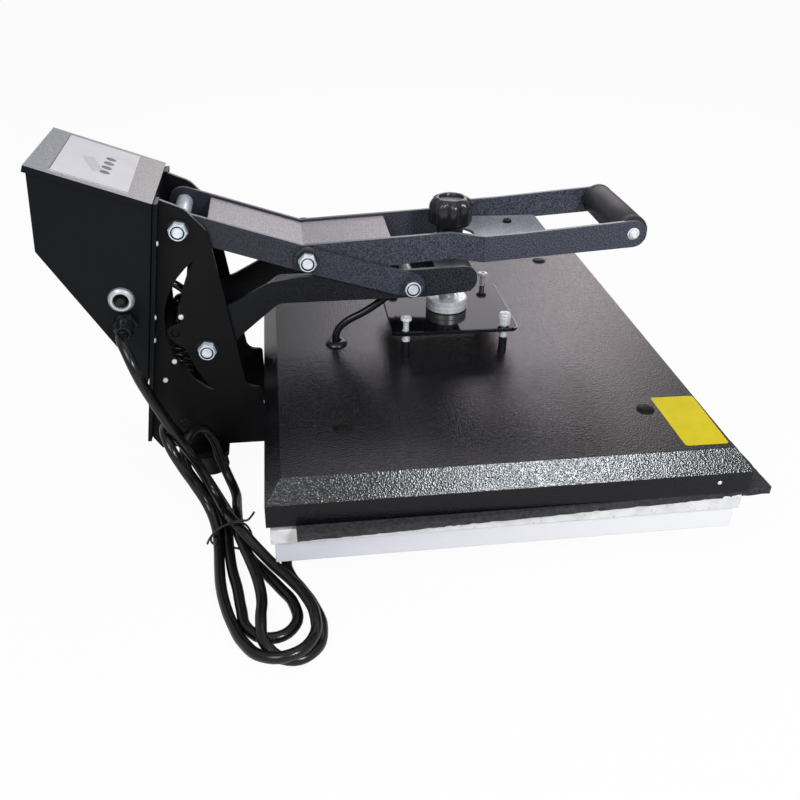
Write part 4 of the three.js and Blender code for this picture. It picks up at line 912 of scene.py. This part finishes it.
# A yellow label near the cover's front right corner: a thin vinyl sheet, left blank.
# Its corners are rounded, and it is stuck on flat.
label_corners = [(0.2293, -0.1558), (0.2297, -0.2334), (0.2683, -0.2337), (0.2698, -0.1566)]
label_lift, label_thickness, label_rounding = 0.00005, 0.00025, 0.0028
label_vinyl = material(
    "label_vinyl", paint(222, 202, 22), {"Roughness": 0.5, "Specular IOR Level": 0.2},
    lambda spot: {"Base Color": cloudy(spot, 0.02).steps(0.3, 0.7).mixed(
        paint(216, 196, 16), paint(226, 208, 28),
    )},
)
bm = bmesh.new()
bm.faces.new([bm.verts.new((x, y, cover_top + label_lift)) for x, y in label_corners])
bmesh.ops.bevel(
    bm, geom=list(bm.verts), offset=label_rounding, segments=5, affect="VERTICES", profile=0.5,
)
raised = bmesh.ops.extrude_face_region(bm, geom=list(bm.faces))["geom"]
tops = [item for item in raised if isinstance(item, bmesh.types.BMVert)]
bmesh.ops.translate(bm, verts=tops, vec=(0, 0, label_thickness))
finished("label", bm, label_vinyl, "upper_platen", 30)

# The cable grommet: a black rubber ring in the cover, where the heater cable leaves.
# It is pressed into its hole, and its round flange shows.
low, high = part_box("cable_grommet")
x, y, _ = middle(low, high)
neck_low = low[2] - cover_top
grommet_profile = [
    (0.0044, neck_low), (0.0078, neck_low), (0.0078, -0.0001), (0.0108, 0.0001), (0.0110, 0.0010),
    (0.0098, 0.0028), (0.0074, 0.0038), (0.0050, 0.0036), (0.0044, 0.0020), (0.0044, neck_low),
]
grommet_rubber = material("grommet_rubber", paint(30, 30, 32), {"Roughness": 0.22})
bm = bmesh.new()
lathe(bm, grommet_profile, (x, y, cover_top))
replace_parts(finished("grommet_ring", bm, grommet_rubber, "upper_platen"), "cable_grommet")

# The support plate: steel in mirror-glossy black, on the four platen bolts over the cover.
# The eased edge on its right is painted white: a painted highlight.
mirror_black = material(
    "mirror_black", paint(10, 10, 12), {"Roughness": 0.08, "Specular IOR Level": 0.22},
)
plate = dressed("support_plate", mirror_black, "upper_platen", 0.0006)
plate.data.materials.append(bright_screws_and_highlights)
for face in plate.data.polygons:
    face.material_index = int(face.normal.x > 0.25 and face.normal.z > 0.25)

# The four platen bolts: steel button heads with hexagon sockets, on spacers from the cover up.
# The spacers are bright at the top and dark below; the front left bolt has a sleeve.
spacer_low, spacer_change, spacer_high, sleeve_width = 0.1047, 0.1460, 0.1526, 0.0115
bolt_radius, joint_gap = 0.0028, 0.0001
sleeve_profile = [
    (0.0029, -0.0040), (0.0058, -0.0040), (0.0063, -0.0045), (0.0063, -0.0120), (0.0058, -0.0125),
    (0.0029, -0.0125), (0.0029, -0.0040),
]
for node in (
    "platen_bolt_rear_left", "platen_bolt_rear_right", "platen_bolt_front_left", "platen_bolt_front_right",
):
    low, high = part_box(node)
    x, y, _ = middle(low, high)
    top = high[2]
    bm = bmesh.new()
    lathe(bm, [
        (0.0020, -0.0004), (0.0034, -0.0004), (0.0050, -0.0010), (0.0055, -0.0020), (0.0055, -0.0035),
        (bolt_radius, -0.0036), (bolt_radius, low[2] - top), (0, low[2] - top), (0, -0.0024),
        (0.0020, -0.0024), (0.0020, -0.0004),
    ], (x, y, top), steps=36)
    for radius, start, end, mark in (
        (0.0042, spacer_change, spacer_high, 0), (0.0041, spacer_low, spacer_change - joint_gap, 1),
    ):
        lathe(bm, [
            (bolt_radius, start), (radius, start), (radius, end), (bolt_radius, end),
        ], (x, y, 0), steps=32, mark=mark)
    if high[0] - low[0] > sleeve_width:
        lathe(bm, sleeve_profile, (x, y, top), steps=40)
    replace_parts(finished(node + "_set", bm, [bright_metal, dark_plastic], "upper_platen", 30), node)

# The screw's collar: a turned steel ring with a groove round it, on the support plate.
# The pressure screw stands in it.
collar_profile = [
    (0.0084, 0), (0.0203, 0), (0.0209, 0.0007), (0.0209, 0.0058), (0.0204, 0.0062), (0.0209, 0.0066),
    (0.0209, 0.0110), (0.0197, 0.0121), (0.0120, 0.0121), (0.0114, 0.0116), (0.0084, 0.0116), (0.0084, 0),
]
turned_steel = material(
    "turned_steel", paint(234, 236, 240), {"Metallic": 0.35, "Roughness": 0.28},
    lambda spot: {"Roughness": cloudy(spot, 0.003).steps(0.3, 0.7, 0.2, 0.36)},
)
low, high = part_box("screw_collar")
x, y, _ = middle(low, high)
bm = bmesh.new()
lathe(bm, collar_profile, (x, y, low[2]), steps=72)
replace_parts(finished("collar_ring", bm, turned_steel, "upper_platen", 28), "screw_collar")

# The pressure screw: a turned steel spindle through the arm's block.
# Its thread is shown as rings, one for each turn.
pitch, root, crest = 0.0020, 0.0070, 0.0080
low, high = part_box("pressure_screw")
x, y, _ = middle(low, high)
spindle_profile = [(0, low[2]), (root, low[2])]
for step in range(int((high[2] - low[2]) / pitch)):
    start = low[2] + step * pitch
    spindle_profile += [
        (root, start + 0.0001), (crest, start + 0.0008), (crest, start + 0.0012), (root, start + 0.0019),
    ]
spindle_profile += [(root, high[2]), (0, high[2])]
bm = bmesh.new()
lathe(bm, spindle_profile, (x, y, 0), steps=32)
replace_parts(finished("screw_spindle", bm, turned_steel, "screw", 25), "pressure_screw")

# The pressure knob: glossy black moulded plastic with eight soft lobes and a recessed top.
# It is fixed on the head of the screw. Its profile gives shares of radius, height and lobe.
knob_gloss = material("knob_gloss", paint(30, 30, 33), {"Roughness": 0.26, "Specular IOR Level": 0.5})
low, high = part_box("pressure_knob")
knob_x, knob_y, _ = middle(low, high)
knob_low, knob_height = low[2], high[2] - low[2]
knob_radius, knob_steps, knob_lobes, lobe_share, lobe_power = 0.0215, 128, 8, 0.15, 1.6
knob_shares = [
    (0.38, 0.00, 0.0), (0.60, 0.00, 0.0), (0.62, 0.22, 0.0), (0.78, 0.25, 0.4), (0.94, 0.28, 0.9),
    (1.00, 0.34, 1.0), (1.00, 0.74, 1.0), (0.975, 0.83, 1.0), (0.90, 0.91, 0.8), (0.78, 0.97, 0.5),
    (0.66, 1.00, 0.2), (0.58, 0.995, 0.0), (0.54, 0.93, 0.0), (0.30, 0.90, 0.0), (0.0001, 0.90, 0.0),
]
bm = bmesh.new()
rings = []
for radius, height, lobed in knob_shares:
    ring = []
    for step in range(knob_steps):
        turn = math.tau * step / knob_steps
        wave = (0.5 - 0.5 * math.cos(knob_lobes * turn)) ** lobe_power
        reach = radius * knob_radius * (1 - lobe_share * lobed * wave)
        ring.append(bm.verts.new((
            knob_x + reach * math.cos(turn), knob_y + reach * math.sin(turn),
            knob_low + height * knob_height,
        )))
    rings.append(ring)
for lower_ring, upper_ring in zip(rings, rings[1:]):
    bmesh.ops.bridge_loops(bm, edges=[
        bm.edges.get(pair) or bm.edges.new(pair)
        for ring in (lower_ring, upper_ring) for pair in zip(ring, ring[1:] + ring[:1])
    ])
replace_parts(finished("knob_cap", bm, knob_gloss, "screw", 50), "pressure_knob")

# The heater cable: black rubber, out of the grommet, up into the arm and back to the box.
# It is fixed at both ends; its part along the arm moves with the arm, and its last part, behind the arm, is
# a fixed mesh.
cable_radius = 0.0038
arm_run = [
    (-0.0486, -0.019, 0.1205), (-0.0486, -0.019, 0.1300), (-0.0486, -0.019, 0.1400),
    (-0.0456, -0.019, 0.1470), (-0.0366, -0.019, 0.1550), (-0.0216, -0.019, 0.1630),
    (-0.0066, -0.019, 0.1730), (0.0044, -0.019, 0.1830), (0.0084, -0.019, 0.1940),
    (0.0014, -0.019, 0.2040), (-0.0126, -0.019, 0.2080), (-0.0436, -0.019, 0.2040),
    (-0.0786, -0.019, 0.2000), (-0.1036, -0.019, 0.1920), (-0.1286, -0.019, 0.1820),
    (-0.1466, -0.019, 0.1760),
]
rear_run = [
    (-0.1472, -0.019, 0.1758), (-0.1586, -0.019, 0.1725), (-0.1706, -0.019, 0.1740),
    (-0.1826, -0.019, 0.1830), (-0.1936, -0.019, 0.1960), (-0.2046, -0.019, 0.2035),
    (-0.2121, -0.019, 0.2049), (-0.2240, -0.019, 0.2049),
]
arm_cable = cable("heater_cable_arm", arm_run, cable_radius, cable_rubber, "arm")
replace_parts(arm_cable, "heater_cable")
rear_cable = cable("heater_cable_rear", rear_run, cable_radius, cable_rubber, None)
bpy.ops.object.select_all(action="DESELECT")
rear_cable.select_set(True)
bpy.context.view_layer.objects.active = rear_cable
bpy.ops.object.convert(target="MESH")
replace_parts(rear_cable, "heater_cable_loop")
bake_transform(rear_cable)

# The stage: a pale floor that keeps the soft shadow, under even studio light.
# The camera sees floor and sky as white, and smooth metal mirrors a dimmer sky.
floor_size, floor_height, floor_share, floor_glow = 30, -0.0002, 0.86, 0.95
ambient, mirrored_sky = 0.26, 0.5
scene = bpy.context.scene
scene.view_settings.view_transform = "Standard"
bm = bmesh.new()
bmesh.ops.create_grid(
    bm, x_segments=1, y_segments=1, size=floor_size, matrix=Matrix.Translation((0, 0, floor_height)),
)
floor = placed("floor", bm)
floor_look = bpy.data.materials.new("floor_white")
floor_look.use_nodes = True
tree = floor_look.node_tree
shader = tree.nodes["Principled BSDF"]
shader.inputs["Base Color"].default_value = (floor_share, floor_share, floor_share, 1)
shader.inputs["Roughness"].default_value = 0.9
rays = Wire(tree, tree.nodes.new("ShaderNodeLightPath").outputs["Is Camera Ray"])
glow = rays.node("ShaderNodeEmission", {}, {"Color": (1, 1, 1, 1), "Strength": 1.0})
blend = rays.node(
    "ShaderNodeMixShader", {}, {0: rays * floor_glow, 1: Wire(tree, shader.outputs[0]), 2: glow},
)
tree.links.new(blend.socket, tree.nodes["Material Output"].inputs["Surface"])
floor.data.materials.append(floor_look)
floor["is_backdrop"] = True

world = bpy.data.worlds.new("studio")
scene.world = world
world.use_nodes = True
tree = world.node_tree
sky = tree.nodes["Background"]
sky.inputs["Color"].default_value = (1, 1, 1, 1)
path = tree.nodes.new("ShaderNodeLightPath")
direct, through, mirrored = (
    Wire(tree, path.outputs[f"Is {kind} Ray"]) for kind in ("Camera", "Transmission", "Glossy")
)
seen = direct.math("MAXIMUM", direct, through)
strength = ambient + seen * (1 - ambient) + mirrored * (mirrored_sky - ambient)
tree.links.new(strength.socket, sky.inputs["Strength"])


def lamp(name, spot, aim, width, height, power, tint=(1, 1, 1)):
    """A soft oblong lamp that points from its spot to its aim."""
    light = bpy.data.lights.new(name, "AREA")
    light.shape, light.size, light.size_y = "RECTANGLE", width, height
    light.energy, light.color = power, tint
    made = bpy.data.objects.new(name, light)
    bpy.context.collection.objects.link(made)
    made.location = spot
    made.rotation_euler = (Vector(aim) - Vector(spot)).to_track_quat("-Z", "Y").to_euler()


lamp("key", (-0.9, -1.3, 1.5), (0, 0, 0.15), 0.9, 0.9, 15)
lamp("front", (0.58, -1.37, 1.12), (0.12, -0.25, 0.12), 0.34, 0.34, 15, (0.9, 0.95, 1.0))
lamp("back", (0.50, 1.55, 1.02), (0.08, 0, 0.13), 0.9, 0.8, 4.6, (0.97, 0.9, 1.0))
lamp("far", (0.90, 1.50, 0.72), (0.2, 0.1, 0.13), 0.5, 0.5, 1.1, (1.0, 0.82, 0.76))
lamp("top", (0.1, -0.1, 2.0), (0, 0, 0.1), 1.2, 1.2, 3)

low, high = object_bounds()
